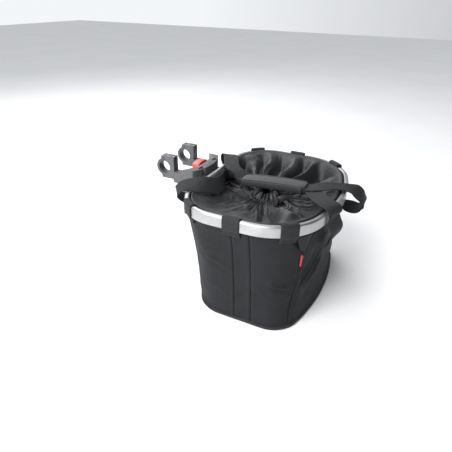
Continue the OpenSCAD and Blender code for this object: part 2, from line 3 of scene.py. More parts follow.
import bmesh
import bpy
import numpy as np
from mathutils import Matrix, Vector, noise


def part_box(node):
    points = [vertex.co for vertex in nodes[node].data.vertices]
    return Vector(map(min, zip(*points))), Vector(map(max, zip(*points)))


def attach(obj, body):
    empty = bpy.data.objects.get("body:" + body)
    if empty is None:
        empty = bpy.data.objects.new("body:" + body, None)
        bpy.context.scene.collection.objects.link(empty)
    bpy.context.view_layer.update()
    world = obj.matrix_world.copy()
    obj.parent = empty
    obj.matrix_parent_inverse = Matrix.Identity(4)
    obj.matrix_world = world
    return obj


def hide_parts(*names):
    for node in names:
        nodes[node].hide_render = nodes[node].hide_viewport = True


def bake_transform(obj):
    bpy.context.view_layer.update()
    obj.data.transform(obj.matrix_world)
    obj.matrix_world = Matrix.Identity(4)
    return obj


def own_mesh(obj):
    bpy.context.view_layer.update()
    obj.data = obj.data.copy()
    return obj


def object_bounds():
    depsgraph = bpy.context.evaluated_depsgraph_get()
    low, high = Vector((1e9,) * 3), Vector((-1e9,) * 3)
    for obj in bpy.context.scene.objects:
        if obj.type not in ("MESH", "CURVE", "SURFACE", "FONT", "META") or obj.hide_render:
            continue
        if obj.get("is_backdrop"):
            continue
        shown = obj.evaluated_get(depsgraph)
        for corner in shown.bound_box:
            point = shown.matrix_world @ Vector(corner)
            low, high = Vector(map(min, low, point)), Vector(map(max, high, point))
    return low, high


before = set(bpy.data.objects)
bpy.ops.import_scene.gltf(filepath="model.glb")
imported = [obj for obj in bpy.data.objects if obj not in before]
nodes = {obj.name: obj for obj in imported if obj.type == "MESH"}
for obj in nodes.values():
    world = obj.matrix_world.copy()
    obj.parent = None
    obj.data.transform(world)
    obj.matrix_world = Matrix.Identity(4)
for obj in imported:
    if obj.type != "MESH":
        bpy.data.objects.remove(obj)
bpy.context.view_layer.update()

MM = 0.001
# The basket's own frame has its base on z = 0 and the rim's middle on x = y = 0.
BASKET = np.array([0.0, -206.0, -217.0])

# Half width, front y, rear y, and the radii of the front, its corners, the rear's.
RIM = (175.0, -146.0, 117.0, 355.0, 105.0, 80.0)
BASE = (166.0, -132.0, 80.0, 500.0, 54.0, 60.0)
BASKET_H, RIM_H, RIM_T = 211.0, 20.7, 9.0
RIM_LOW = BASKET_H - RIM_H
FLOOR_T = 2.5
WALL_TOP = RIM_LOW - 4.5
WALL_TOP_INSET = 7.0
SAG = 6.0
SEAM_BASE, SEAM_TOP, SEAM_REAR = 1.33, 1.22, 3.6
BAND_TOP, BAND_BASE = (1.98, 2.45), (2.24, 2.62)


# ---- camera, light and floor ----------------------------------------------

def make_camera():
    data = bpy.data.cameras.new("camera")
    data.lens, data.sensor_width = 33.02, 36.0
    data.clip_start, data.clip_end = 0.01, 50.0
    cam = bpy.data.objects.new("camera", data)
    bpy.context.scene.collection.objects.link(cam)
    ahead = Vector((0.78211, 0.38074, -0.49327)).normalized()
    right = ahead.cross(Vector((0, 0, 1))).normalized()
    up = right.cross(ahead)
    roll = math.radians(0.924)
    side = right * math.cos(roll) + up * math.sin(roll)
    top = up * math.cos(roll) - right * math.sin(roll)
    axes = Matrix((side, top, -ahead)).transposed().to_4x4()
    cam.matrix_world = Matrix.Translation((-0.69885, -0.45725, 0.31062)) @ axes
    bpy.context.scene.camera = cam


def make_lights():
    world = bpy.data.worlds.new("studio")
    bpy.context.scene.world = world
    world.use_nodes = True
    sky = world.node_tree.nodes["Background"]
    sky.inputs["Color"].default_value = (0.95, 0.97, 1.0, 1)
    # The sky is brighter behind the basket than in front of it.
    tree = world.node_tree
    where = tree.nodes.new("ShaderNodeTexCoord")
    split = tree.nodes.new("ShaderNodeSeparateXYZ")
    ramp = tree.nodes.new("ShaderNodeMapRange")
    for socket, value in (("From Min", -0.7), ("From Max", 0.5), ("To Min", 0.20),
                          ("To Max", 0.95)):
        ramp.inputs[socket].default_value = value
    tree.links.new(where.outputs["Generated"], split.inputs["Vector"])
    tree.links.new(split.outputs["Y"], ramp.inputs["Value"])
    tree.links.new(ramp.outputs["Result"], sky.inputs["Strength"])
    aim = Vector((0, -0.2, -0.05))
    for name, place, size, power in (
            ("key", (-1.2, 0.15, 1.3), 1.1, 34.0),
            ("fill", (-1.5, 0.2, 0.35), 1.2, 15.0),
            ("back", (0.7, 0.9, 1.3), 1.4, 20.0)):
        data = bpy.data.lights.new(name, "AREA")
        data.energy, data.size = power, size
        lamp = bpy.data.objects.new(name, data)
        bpy.context.scene.collection.objects.link(lamp)
        lamp.location = place
        lamp.rotation_mode = "QUATERNION"
        lamp.rotation_quaternion = (aim - Vector(place)).to_track_quat("-Z", "Y")


# ---- materials -------------------------------------------------------------

class Nodes:
    """Builds one procedural material."""

    def __init__(self, name, **shader):
        self.mat = bpy.data.materials.new(name)
        self.mat.use_nodes = True
        self.tree = self.mat.node_tree
        self.shader = self.tree.nodes["Principled BSDF"]
        for key, value in shader.items():
            socket = self.shader.inputs[key.replace("_", " ")]
            socket.default_value = value
        self.where = self.add("ShaderNodeTexCoord").outputs["Object"]

    def add(self, kind, links=None, values=None, **settings):
        node = self.tree.nodes.new(kind)
        for key, value in settings.items():
            setattr(node, key, value)
        for key, value in (values or {}).items():
            node.inputs[key].default_value = value
        for key, value in (links or {}).items():
            self.tree.links.new(value, node.inputs[key])
        return node

    def stretched(self, scale):
        return self.add("ShaderNodeMapping", {"Vector": self.where},
                        {"Scale": scale}).outputs["Vector"]

    def noise(self, scale, detail=3.0, where=None, rough=0.55):
        return self.add(
            "ShaderNodeTexNoise", {"Vector": where or self.where},
            {"Scale": scale, "Detail": detail, "Roughness": rough}).outputs["Fac"]

    def math(self, operation, a, b):
        node = self.add("ShaderNodeMath", operation=operation)
        for socket, value in zip(node.inputs, (a, b)):
            if isinstance(value, (int, float)):
                socket.default_value = value
            else:
                self.tree.links.new(value, socket)
        return node.outputs[0]

    def ramp(self, value, stops):
        node = self.add("ShaderNodeValToRGB", {"Fac": value})
        elements = node.color_ramp.elements
        while len(elements) < len(stops):
            elements.new(0.5)
        for element, (place, colour) in zip(elements, stops):
            element.position = place
            element.color = (*colour, 1)
        return node.outputs["Color"]

    def spread(self, value, low, high):
        return self.add("ShaderNodeMapRange", {"Value": value},
                        {"To Min": low, "To Max": high}).outputs["Result"]

    def colour(self, socket):
        self.tree.links.new(socket, self.shader.inputs["Base Color"])

    def rough(self, socket):
        self.tree.links.new(socket, self.shader.inputs["Roughness"])

    def bump(self, height, depth, strength=1.0):
        """Adds a bump of that depth in metres over the ones before."""
        links = {"Height": height}
        before = self.shader.inputs["Normal"].links
        if before:
            links["Normal"] = before[0].from_socket
        node = self.add("ShaderNodeBump", links,
                        {"Distance": depth, "Strength": strength})
        self.tree.links.new(node.outputs["Normal"], self.shader.inputs["Normal"])


def shade(colour, factor):
    return tuple(min(1.0, c * factor) for c in colour)


def weave(m, pitch, depth):
    """A plain weave of threads along and across, with no UVs."""
    waves = []
    for axis in ("X", "Y", "Z"):
        waves.append(m.add("ShaderNodeTexWave", {"Vector": m.where},
                           {"Scale": 0.314 / pitch, "Distortion": 0.6,
                            "Detail": 0.0, "Detail Scale": 1.0},
                           bands_direction=axis).outputs["Fac"])
    both = m.math("ADD", m.math("MAXIMUM", waves[0], waves[1]), waves[2])
    m.bump(both, depth)


def fabric(name, colour, rough, sheen, pitch=0.0009, folds=0.0006, vary=0.22,
           gloss=0.35):
    m = Nodes(name, Roughness=rough, Sheen_Weight=sheen, Sheen_Roughness=0.45,
              Specular_IOR_Level=gloss)
    cloud = m.noise(9.0, 4.0)
    fine = m.noise(900.0, 2.0)
    mixed = m.math("ADD", m.math("MULTIPLY", cloud, 0.75),
                   m.math("MULTIPLY", fine, 0.25))
    m.colour(m.ramp(mixed, ((0.3, shade(colour, 1 - vary)),
                            (0.7, shade(colour, 1 + vary)))))
    m.rough(m.spread(cloud, rough - 0.1, rough + 0.08))
    m.bump(m.noise(55.0, 5.0), folds)
    weave(m, pitch, 0.00008)
    return m.mat


def webbing(name, colour, sheen=0.25):
    m = Nodes(name, Roughness=0.7, Sheen_Weight=sheen, Sheen_Roughness=0.4,
              Specular_IOR_Level=0.35)
    rib = m.add("ShaderNodeTexWave", {"Vector": m.where},
                {"Scale": 180.0, "Distortion": 1.2, "Detail": 1.0,
                 "Detail Scale": 2.0}, bands_direction="DIAGONAL").outputs["Fac"]
    cross = m.add("ShaderNodeTexWave", {"Vector": m.where},
                  {"Scale": 240.0, "Distortion": 0.8, "Detail": 0.0},
                  bands_direction="Z").outputs["Fac"]
    both = m.math("ADD", rib, cross)
    # Painted shade: the raised ribs are painted lighter and the grooves between them
    # darker, following the same waves as the bump.
    m.colour(m.ramp(m.math("MULTIPLY", both, 0.5),
                    ((0.1, shade(colour, 0.65)), (0.8, shade(colour, 1.25)))))
    m.bump(both, 0.00018)
    m.bump(m.noise(60.0, 3.0), 0.0004)
    return m.mat


def worn(m, colour, edge, where=0.52):
    """Colour with lighter rubbed edges and a soft cloud of dust and handling."""
    cloud = m.noise(26.0, 5.0)
    body = m.ramp(cloud, ((0.25, shade(colour, 0.82)), (0.75, shade(colour, 1.18))))
    point = m.add("ShaderNodeNewGeometry").outputs["Pointiness"]
    scratch = m.math("MULTIPLY", m.noise(160.0, 4.0), 0.03)
    rub = m.ramp(m.math("ADD", point, scratch),
                 ((where, (0, 0, 0)), (where + 0.07, (1, 1, 1))))
    mix = m.add("ShaderNodeMix", data_type="RGBA")
    m.tree.links.new(rub, mix.inputs[0])
    m.tree.links.new(body, mix.inputs[6])
    mix.inputs[7].default_value = (*edge, 1)
    m.colour(mix.outputs[2])
    return cloud


def plastic(name, colour, rough, edge, grain=0.00005):
    m = Nodes(name, Specular_IOR_Level=0.5, Roughness=rough)
    cloud = worn(m, colour, edge)
    m.rough(m.spread(cloud, rough - 0.09, rough + 0.09))
    m.bump(m.noise(1400.0, 2.0), grain)
    return m.mat


def metal(name, colour, rough, lines):
    """Brushed or turned metal: lines is how the grain is stretched."""
    m = Nodes(name, Metallic=1.0, Roughness=rough)
    cloud = worn(m, colour, shade(colour, 1.15), 0.54)
    grain = m.noise(1.0, 3.0, m.stretched(lines))
    m.rough(m.spread(m.math("ADD", m.math("MULTIPLY", grain, 0.7),
                            m.math("MULTIPLY", cloud, 0.3)),
                     rough - 0.08, rough + 0.12))
    m.bump(grain, 0.00006)
    return m.mat


def cord_finish(name, colour):
    m = Nodes(name, Roughness=0.6, Sheen_Weight=0.3, Specular_IOR_Level=0.4)
    braid = m.add("ShaderNodeTexVoronoi", {"Vector": m.where},
                  {"Scale": 1300.0}).outputs["Distance"]
    # Painted highlight and shade: the strands' raised middles are painted lighter and the
    # gaps between them darker, following the same cells as the bump.
    m.colour(m.ramp(braid, ((0.0, shade(colour, 1.5)), (0.6, shade(colour, 0.6)))))
    m.bump(braid, -0.0002)
    return m.mat


def floor_finish():
    m = Nodes("floor_finish", Roughness=0.85, Specular_IOR_Level=0.2)
    m.colour(m.ramp(m.noise(3.0), ((0.3, (0.86, 0.87, 0.88)), (0.7, (0.9, 0.9, 0.9)))))
    return m.mat


# ---- the outlines ----------------------------------------------------------

def on_arc(c, r, degrees):
    a = math.radians(degrees)
    return np.array([c[0] + r * math.cos(a), c[1] + r * math.sin(a)])


def front_c(o):
    return np.array([0.0, o[1] + o[3]])


def corner_c(o):
    x, d = o[0] - o[4], o[3] - o[4]
    return np.array([x, o[1] + o[3] - math.sqrt(d * d - x * x)])


def rear_c(o):
    return np.array([o[0] - o[5], o[2] - o[5]])


def front_sweep(o):
    return math.degrees(math.asin((o[0] - o[4]) / (o[3] - o[4])))


def outline(o, inset, t):
    """The point at place t on an outline drawn in by inset: 0 is the front's
    middle, 5 the rear's, on the +X side. Below 0 and over 5 is the other side."""
    if t < 0:
        return outline(o, inset, -t) * (-1, 1)
    if t > 5:
        return outline(o, inset, 10 - t) * (-1, 1)
    sweep = front_sweep(o)
    if t < 1:
        return on_arc(front_c(o), o[3] - inset, -90 + sweep * t)
    if t < 2:
        return on_arc(corner_c(o), o[4] - inset, (-90 + sweep) * (2 - t))
    if t < 3:
        y = corner_c(o)[1] * (3 - t) + rear_c(o)[1] * (t - 2)
        return np.array([o[0] - inset, y])
    if t < 4:
        return on_arc(rear_c(o), o[5] - inset, 90 * (t - 3))
    return np.array([rear_c(o)[0] * (5 - t), o[2] - inset])


def wall_point(s, base_t, top_t, inset=0.0):
    """The bag's wall at height share s, from the base to under the rim."""
    h = abs(base_t) if base_t <= 5 else 10 - base_t
    draw = SAG * (1.0 if h < 3 else max(0.0, 4 - h)) * 4 * s * (1 - s)
    # The front corner seams swing towards the middle of the front half-way up.
    swing = 0.08 * math.sin(math.pi * s) * math.exp(-((h - 1.3) / 0.35) ** 2)
    swing = -swing if 0 <= base_t <= 5 else swing
    low = outline(BASE, inset + draw, base_t + swing)
    top = outline(RIM, inset + draw + WALL_TOP_INSET, top_t + swing)
    flat = low + (top - low) * s
    return np.array([*flat, FLOOR_T + (WALL_TOP - FLOOR_T) * s])


# ---- mesh helpers ----------------------------------------------------------

def placed(points):
    """Points of the basket's frame, in millimetres, as metres of the row frame."""
    return (np.asarray(points, float) + BASKET) * MM


def new_piece(name, verts, faces, finish, body, smooth=True):
    mesh = bpy.data.meshes.new(name)
    mesh.from_pydata([tuple(v) for v in verts], [], faces)
    mesh.validate()
    mesh.polygons.foreach_set("use_smooth", [smooth] * len(mesh.polygons))
    mesh.materials.append(finish)
    obj = bpy.data.objects.new(name, mesh)
    bpy.context.scene.collection.objects.link(obj)
    if body:
        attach(obj, body)
    return obj


def grid_normals(p, wrap=False):
    """Normals of a grid of points, pointing to the left of its rows."""
    if wrap:
        along = np.roll(p, -1, 0) - np.roll(p, 1, 0)
    else:
        along = np.gradient(p, axis=0)
    n = np.cross(along, np.gradient(p, axis=1))
    return n / np.maximum(np.linalg.norm(n, axis=2, keepdims=True), 1e-9)


def shell_mesh(p, thick, wrap=False, normals=None):
    """Vertices and faces of a cloth of some thickness under a grid of points,
    with rounded free edges."""
    n, m = p.shape[:2]
    nor = grid_normals(p, wrap) if normals is None else normals
    mid = p - nor * thick / 2
    edge0 = mid[:, 0] - (p[:, 1] - p[:, 0]) * (
        0.4 * thick / np.maximum(np.linalg.norm(p[:, 1] - p[:, 0], axis=1), 1e-9)
    )[:, None]
    edge1 = mid[:, -1] + (p[:, -1] - p[:, -2]) * (
        0.4 * thick / np.maximum(np.linalg.norm(p[:, -1] - p[:, -2], axis=1), 1e-9)
    )[:, None]
    inner = p - nor * thick
    rings = np.concatenate(
        [edge0[:, None], p, edge1[:, None], inner[:, ::-1]], axis=1)
    k = rings.shape[1]
    faces = []
    for i in range(n if wrap else n - 1):
        a, b = i * k, (i + 1) % n * k
        faces += [(a + j, b + j, b + (j + 1) % k, a + (j + 1) % k)
                  for j in range(k)]
    if not wrap:
        for a, turn in ((0, False), ((n - 1) * k, True)):
            for j in range(m - 1):
                quad = (a + 1 + j, a + 2 + j, a + k - 2 - j, a + k - 1 - j)
                faces.append(quad[::-1] if turn else quad)
            for tip in ((a, a + 1, a + k - 1), (a + m, a + m + 1, a + m + 2)):
                faces.append(tip[::-1] if turn else tip)
    return rings.reshape(-1, 3), faces


def shell(name, p, thick, finish, body, wrap=False, normals=None):
    verts, faces = shell_mesh(p, thick, wrap, normals)
    return new_piece(name, placed(verts), faces, finish, body)


def tube_mesh(path, radius, sides=10, closed=False):
    """Rings of a round tube along a path; radius may change along it."""
    path = np.asarray(path, float)
    n = len(path)
    radius = np.broadcast_to(radius, (n,))
    if closed:
        ahead = np.roll(path, -1, 0) - np.roll(path, 1, 0)
    else:
        ahead = np.gradient(path, axis=0)
    ahead /= np.linalg.norm(ahead, axis=1, keepdims=True)
    side = np.cross(ahead[0], (0.13, 0.21, 0.97))
    verts, faces = [], []
    for i in range(n):
        side = side - ahead[i] * np.dot(side, ahead[i])
        side /= np.linalg.norm(side)
        up = np.cross(side, ahead[i])
        for k in range(sides):
            a = 2 * math.pi * k / sides
            verts.append(path[i] + radius[i] * (math.cos(a) * side + math.sin(a) * up))
    for i in range(n if closed else n - 1):
        a, b = i * sides, (i + 1) % n * sides
        faces += [(a + k, a + (k + 1) % sides, b + (k + 1) % sides, b + k)
                  for k in range(sides)]
    if not closed:
        faces += [tuple(range(sides))[::-1],
                  tuple(range((n - 1) * sides, n * sides))]
    return np.array(verts), faces


def smooth_path(points, steps):
    """A Catmull-Rom path through the points."""
    p = np.asarray(points, float)
    out = []
    for i in range(len(p) - 1):
        a, b, c, d = p[max(i - 1, 0)], p[i], p[i + 1], p[min(i + 2, len(p) - 1)]
        for k in np.arange(steps) / steps:
            out.append(0.5 * (2 * b + (c - a) * k + (2 * a - 5 * b + 4 * c - d) * k * k
                              + (3 * b - a - 3 * c + d) * k ** 3))
    out.append(p[-1])
    return np.array(out)


def merged(parts):
    """Several (verts, faces) as one."""
    verts, faces, base = [], [], 0
    for v, f in parts:
        verts.append(np.asarray(v))
        faces += [tuple(i + base for i in face) for face in f]
        base += len(v)
    return np.concatenate(verts), faces


def stitches(name, runs, finish, body, pitch=4.2, length=2.9, r=0.42):
    """Short threads along runs of (points, normals), lying on the surface."""
    parts = []
    for points, normals in runs:
        points, normals = np.asarray(points, float), np.asarray(normals, float)
        steps = np.linalg.norm(np.diff(points, axis=0), axis=1)
        far = np.concatenate([[0], np.cumsum(steps)])
        for start in np.arange(pitch / 2, far[-1] - length, pitch):
            spots = np.linspace(start, start + length, 5)
            line = np.stack([np.interp(spots, far, points[:, k]) for k in range(3)], 1)
            out = np.stack([np.interp(spots, far, normals[:, k]) for k in range(3)], 1)
            line += out * np.array([-0.35, 0.22, 0.34, 0.22, -0.35])[:, None]
            parts.append(tube_mesh(line, [0.5 * r, r, r, r, 0.5 * r], 6))
    verts, faces = merged(parts)
    return new_piece(name, placed(verts), faces, finish, body)


def lumpy(p, size, seed=0.0):
    return noise.noise(Vector((p[0] / size + seed, p[1] / size - seed, p[2] / size)))


# ---- start -----------------------------------------------------------------

make_camera()
make_lights()
bpy.context.scene.view_settings.view_transform = "Standard"
floor_mesh = bpy.data.meshes.new("floor")
floor_mesh.from_pydata([(-6, -6, 0), (6, -6, 0), (6, 6, 0), (-6, 6, 0)], [], [(0, 1, 2, 3)])
floor_mesh.materials.append(floor_finish())
floor = bpy.data.objects.new("floor", floor_mesh)
floor.location = (0, 0, (BASKET[2] - 0.3) * MM)
bpy.context.scene.collection.objects.link(floor)
floor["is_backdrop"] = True

# ---- the CAD nodes' materials ----------------------------------------------

BAG = fabric("bag_fabric", (0.0145, 0.0149, 0.0168), 0.66, 0.02, gloss=0.16)
BAG_DARK = fabric("bag_binding", (0.012, 0.012, 0.013), 0.7, 0.2)
COVER = fabric("cover_fabric", (0.0080, 0.0086, 0.0108), 0.44, 0.06, 0.0007, 0.0003,
               gloss=0.50)
WEBBING = webbing("webbing", (0.0110, 0.0115, 0.0132), 0.03)
GRIP = fabric("grip_fabric", (0.026, 0.028, 0.030), 0.55, 0.12, 0.0011)
CLOSURE = fabric("closure_fabric", (0.020, 0.021, 0.022), 0.6, 0.1, 0.0011)
RED_CLOTH = fabric("red_fabric", (0.40, 0.030, 0.026), 0.7, 0.2, 0.0006, 0.0002, 0.1)
THREAD = fabric("thread", (0.020, 0.020, 0.022), 0.6, 0.1, 0.0004, 0.0001)
CORD = cord_finish("cord", (0.015, 0.015, 0.016))
ALUMINIUM = metal("rim_aluminium", (0.41, 0.41, 0.41), 0.36, (60, 60, 2600))
STEEL = metal("bolt_steel", (0.55, 0.56, 0.58), 0.3, (900, 900, 900))
ADAPTER = plastic("adapter_plastic", (0.034, 0.037, 0.041), 0.42, (0.075, 0.078, 0.082))
BLACK = plastic("black_plastic", (0.011, 0.011, 0.012), 0.4, (0.05, 0.05, 0.052))
RED = plastic("red_plastic", (0.55, 0.022, 0.02), 0.34, (0.75, 0.12, 0.10))

FINISH = {
    "adapter_body": ADAPTER, "clamp_cap_left": ADAPTER, "clamp_cap_right": ADAPTER,
    "release_button": RED, "hook_plate": BLACK, "backing_plate": BLACK,
    "latch_tongue": BLACK, "cord_lock_body": BLACK, "cord_lock_button": BLACK,
    "clamp_bolts": STEEL, "clamp_nuts": STEEL, "plate_screws": STEEL,
    "plate_nuts": STEEL, "button_spring": STEEL, "cord_lock_spring": STEEL,
    "rim_rivets": STEEL, "rim_frame": ALUMINIUM, "rim_joiner": ALUMINIUM,
    "drawstring": CORD, "base_board": BAG_DARK, "base_panel": BAG,
    "base_binding": BAG_DARK, "cover": COVER, "mouth_hem": COVER,
    "side_tag": RED_CLOTH, "carry_grip": GRIP, "grip_closure": CLOSURE,
    "drawstring_tail_near": CORD, "drawstring_tail_far": CORD,
    "drawstring_knot": CORD,
}
for name, obj in nodes.items():
    finish = FINISH.get(name, WEBBING if "loop" in name or "strap" in name else BAG)
    obj.data.materials.clear()
    obj.data.materials.append(finish)


# ---- the drawstring and its tails ------------------------------------------

CORD_R = 1.5
TAIL_NEAR = [(-36, -46.7, 192.5), (-39, -52, 191), (-44, -56, 190), (-51, -58, 190),
             (-59, -57, 190.5), (-66, -53, 191.5), (-71, -47, 192.5)]
TAIL_FAR = [(-32.5, -48.6, 192.5), (-35.5, -54.5, 190.8), (-41, -59.5, 190),
            (-49, -62.5, 190.2), (-59, -62.5, 190.8), (-68, -58.5, 192),
            (-75, -49, 193.8)]
KNOT = np.array([-74.0, -46.5, 193.5])


def cord_curve(name, points):
    data = bpy.data.curves.new(name, "CURVE")
    data.dimensions = "3D"
    data.bevel_depth, data.bevel_resolution = CORD_R * MM, 4
    data.use_fill_caps = True
    spline = data.splines.new("POLY")
    spline.points.add(len(points) - 1)
    for spot, p in zip(spline.points, points):
        spot.co = (*p, 1)
    data.materials.append(CORD)
    obj = bpy.data.objects.new(name, data)
    bpy.context.scene.collection.objects.link(obj)
    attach(obj, "basket")
    return obj


loops = np.linspace(0, 2 * math.pi, 90, endpoint=False)
trefoil = np.stack([np.sin(loops) + 2 * np.sin(2 * loops),
                    np.cos(loops) - 2 * np.cos(2 * loops),
                    -1.4 * np.sin(3 * loops)], 1)
verts, faces = tube_mesh(KNOT + trefoil * 0.92, 1.35, 12, True)
knot = new_piece("tail_knot", placed(verts), faces, CORD, "basket")
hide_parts("drawstring_knot")
for name, route, others in (("tail_near", TAIL_NEAR, [knot]), ("tail_far", TAIL_FAR, [])):
    line = placed(smooth_path(route, 4))
    tail = cord_curve(name, line)
    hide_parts("drawstring_" + name)

# ---- the bag's walls -------------------------------------------------------

WALL_CLOTH_T = 2.4

# Creases in the cloth, in the basket's frame: start, end, half width, depth.
# A depth below zero is a valley.
CREASES = [
    (np.array(a, float), np.array(b, float), width, depth)
    for a, b, width, depth in (
        ((-161, 41, 118), (-161, -3, 100), 4.5, 2.2),
        ((-161, 36, 112), (-161, -8, 94), 4.0, -1.6),
        ((-162, 29, 60), (-162, -8, 43), 4.0, 2.0),
        ((-158, -69, 93), (-140, -99, 84), 3.0, 4.6),
        ((-159, -66, 86), (-142, -97, 77), 4.0, -2.4),
        ((-140, -99, 84), (-124, -110, 97), 3.0, 2.8),
        ((-118, -112, 93), (-30, -127, 150), 4.5, 4.2),
        ((-112, -114, 82), (-30, -128, 138), 6.0, -5.4),
        ((-92, -118, 69), (-40, -127, 108), 4.0, 4.0),
        ((-161, -39, 87), (-157, -77, 57), 4.5, 1.8),
        ((-160, -45, 70), (-150, -90, 40), 6.0, -1.8),
        ((-128, -108, 70), (-141, -104, 14), 7.0, -4.5),
        ((-60, -124, 165), (20, -130, 120), 6.0, 2.6),
        ((20, -131, 60), (90, -126, 110), 6.0, 2.4),
        ((0, -131, 30), (70, -129, 52), 5.0, -2.2),
        ((150, -60, 60), (160, -10, 96), 5.0, 2.2),
        ((160, 20, 120), (160, 60, 92), 5.0, -2.0),
        ((-100, 92, 60), (-40, 94, 100), 6.0, 2.0),
        ((30, 94, 70), (100, 92, 40), 6.0, -2.0))]


def crease_at(p):
    total = 0.0
    for a, b, width, depth in CREASES:
        ab = b - a
        k = min(1.0, max(0.0, float(np.dot(p - a, ab) / np.dot(ab, ab))))
        away = float(np.linalg.norm(p - a - ab * k)) / width
        if away < 3:
            total += depth * math.exp(-away * away) * (0.25 + 0.75 * math.sin(
                math.pi * min(1.0, 0.12 + k * 0.88)))
    return total


def gusset_half(z):
    """Half width at height z of the webbing below a front loop."""
    return 3.0 + 14.0 * max(0.0, (z - 155.0) / 32.0) ** 0.9


def wall_offset(p, s, edge, front_edge):
    """How far the cloth stands out from the plain wall. edge is the distance
    to the panel's nearest seam, front_edge to its front corner seam."""
    held = min(1.0, (1 - s) * 9) * min(1.0, s * 14)
    loose = 2.6 * lumpy(p, 62, 3.1) + 1.3 * lumpy(p, 24, 7.7) + 0.45 * lumpy(p, 9, 1.3)
    seam = -0.9 * math.exp(-(edge / 1.2) ** 2) + 0.4 * math.exp(-((edge - 4.5) / 3) ** 2)
    hollow = 0.0
    if p[2] > 150 and front_edge < 40:
        away = (front_edge - gusset_half(p[2]) + 1.0) / 5.0
        hollow = -6.5 * min(1.0, (p[2] - 150) / 22) * (
            math.exp(-away * away) if away > 0 else 1.0)
    return (loose + crease_at(p)) * held + seam + hollow


def wall_piece(name, base_t, top_t, mirror):
    """One panel of the wall, cut at its seams, with its top edge turned in
    behind the rim."""
    side = -1 if mirror else 1
    arcs = [wall_point(0.5, b, t) for b, t in zip(
        np.linspace(*base_t, 60), np.linspace(*top_t, 60))]
    width = float(np.linalg.norm(np.diff(arcs, axis=0), axis=1).sum())
    n = int(width / 2.6) + 1
    m = 70
    plain = np.zeros((n + 1, m + 1, 3))
    for i in range(n + 1):
        b = base_t[0] + (base_t[1] - base_t[0]) * i / n
        t = top_t[0] + (top_t[1] - top_t[0]) * i / n
        for j in range(m + 1):
            plain[i, j] = wall_point(j / m, b, t)
    plain[:, :, 0] *= side
    normals = grid_normals(plain) * side
    cloth = plain.copy()
    for i in range(n + 1):
        edge = min(i, n - i) * width / n
        front_edge = (edge if base_t[0] < 0 else i * width / n
                      if base_t[0] == SEAM_BASE else 99.0)
        for j in range(m + 1):
            cloth[i, j] += normals[i, j] * wall_offset(plain[i, j], j / m, edge, front_edge)
    tucked = []
    for t in np.linspace(*top_t, n + 1):
        tucked.append([[*(outline(RIM, inset, t) * (side, 1)), z] for inset, z in (
            (8.2, 188.2), (9.3, 190.4), (9.7, 194), (9.8, 199))])
    full = np.concatenate([cloth, np.array(tucked)], axis=1)
    normal = grid_normals(full) * side
    verts, faces = shell_mesh(full, WALL_CLOTH_T, False, normal)
    if mirror:
        faces = [f[::-1] for f in faces]
    piece = new_piece(name, placed(verts), faces, BAG, "basket")
    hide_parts(name.replace("cloth_", ""))
    seams = [(cloth[k], normal[k, :m + 1]) for k in (2, n - 2)]
    return piece, width, seams


SEAM_RUNS = []
WALLS = [("front_panel", (-SEAM_BASE, SEAM_BASE), (-SEAM_TOP, SEAM_TOP), 0),
         ("rear_panel", (SEAM_REAR, 10 - SEAM_REAR), (SEAM_REAR, 10 - SEAM_REAR), 0)]
for word, mirror in (("left", 0), ("right", 1)):
    WALLS += [
        ("side_front_" + word, (SEAM_BASE, BAND_BASE[0]), (SEAM_TOP, BAND_TOP[0]),
         mirror),
        ("side_band_" + word, BAND_BASE, BAND_TOP, mirror),
        ("side_rear_" + word, (BAND_BASE[1], SEAM_REAR), (BAND_TOP[1], SEAM_REAR),
         mirror)]
for name, base_t, top_t, mirror in WALLS:
    piece, width, seams = wall_piece("cloth_" + name, base_t, top_t, mirror)
    SEAM_RUNS += seams
stitches("seam_stitches", SEAM_RUNS, THREAD, "basket")


# ---- the handle straps' routes: (place, direction of the width) -------------

RIGHT_FRONT = [
    ((-47, -138, 137), (0.95, -0.1, 0.3)), ((-52, -147, 152), (0.9, -0.3, 0.3)),
    ((-57, -152, 166), (0.9, -0.35, 0.3)), ((-62, -152, 178), (0.88, -0.38, 0.3)),
    ((-66, -148, 189), (0.88, -0.38, 0.3)), ((-68, -145.5, 199), (0.88, -0.35, 0.32)),
    ((-70, -147, 208), (0.86, -0.48, 0.15)), ((-70, -146, 214), (0.84, -0.52, 0.1)),
    ((-68.5, -140.5, 218.4), (0.81, -0.57, 0.1)),
    ((-63, -130.5, 219.8), (0.77, -0.62, 0.1)),
    ((-54, -120, 219.3), (0.72, -0.67, 0.1)), ((-42, -111, 217), (0.65, -0.75, 0.12)),
    ((-26, -101, 215), (0.6, -0.78, 0.08)), ((-14, -93.5, 213), (0.65, -0.74, 0.04)),
    ((-6.5, -86.5, 211.8), (0.8, -0.58, 0)), ((-3, -78, 211.4), (1, 0, 0)),
    ((-3, -70, 211.4), (1, 0, 0))]
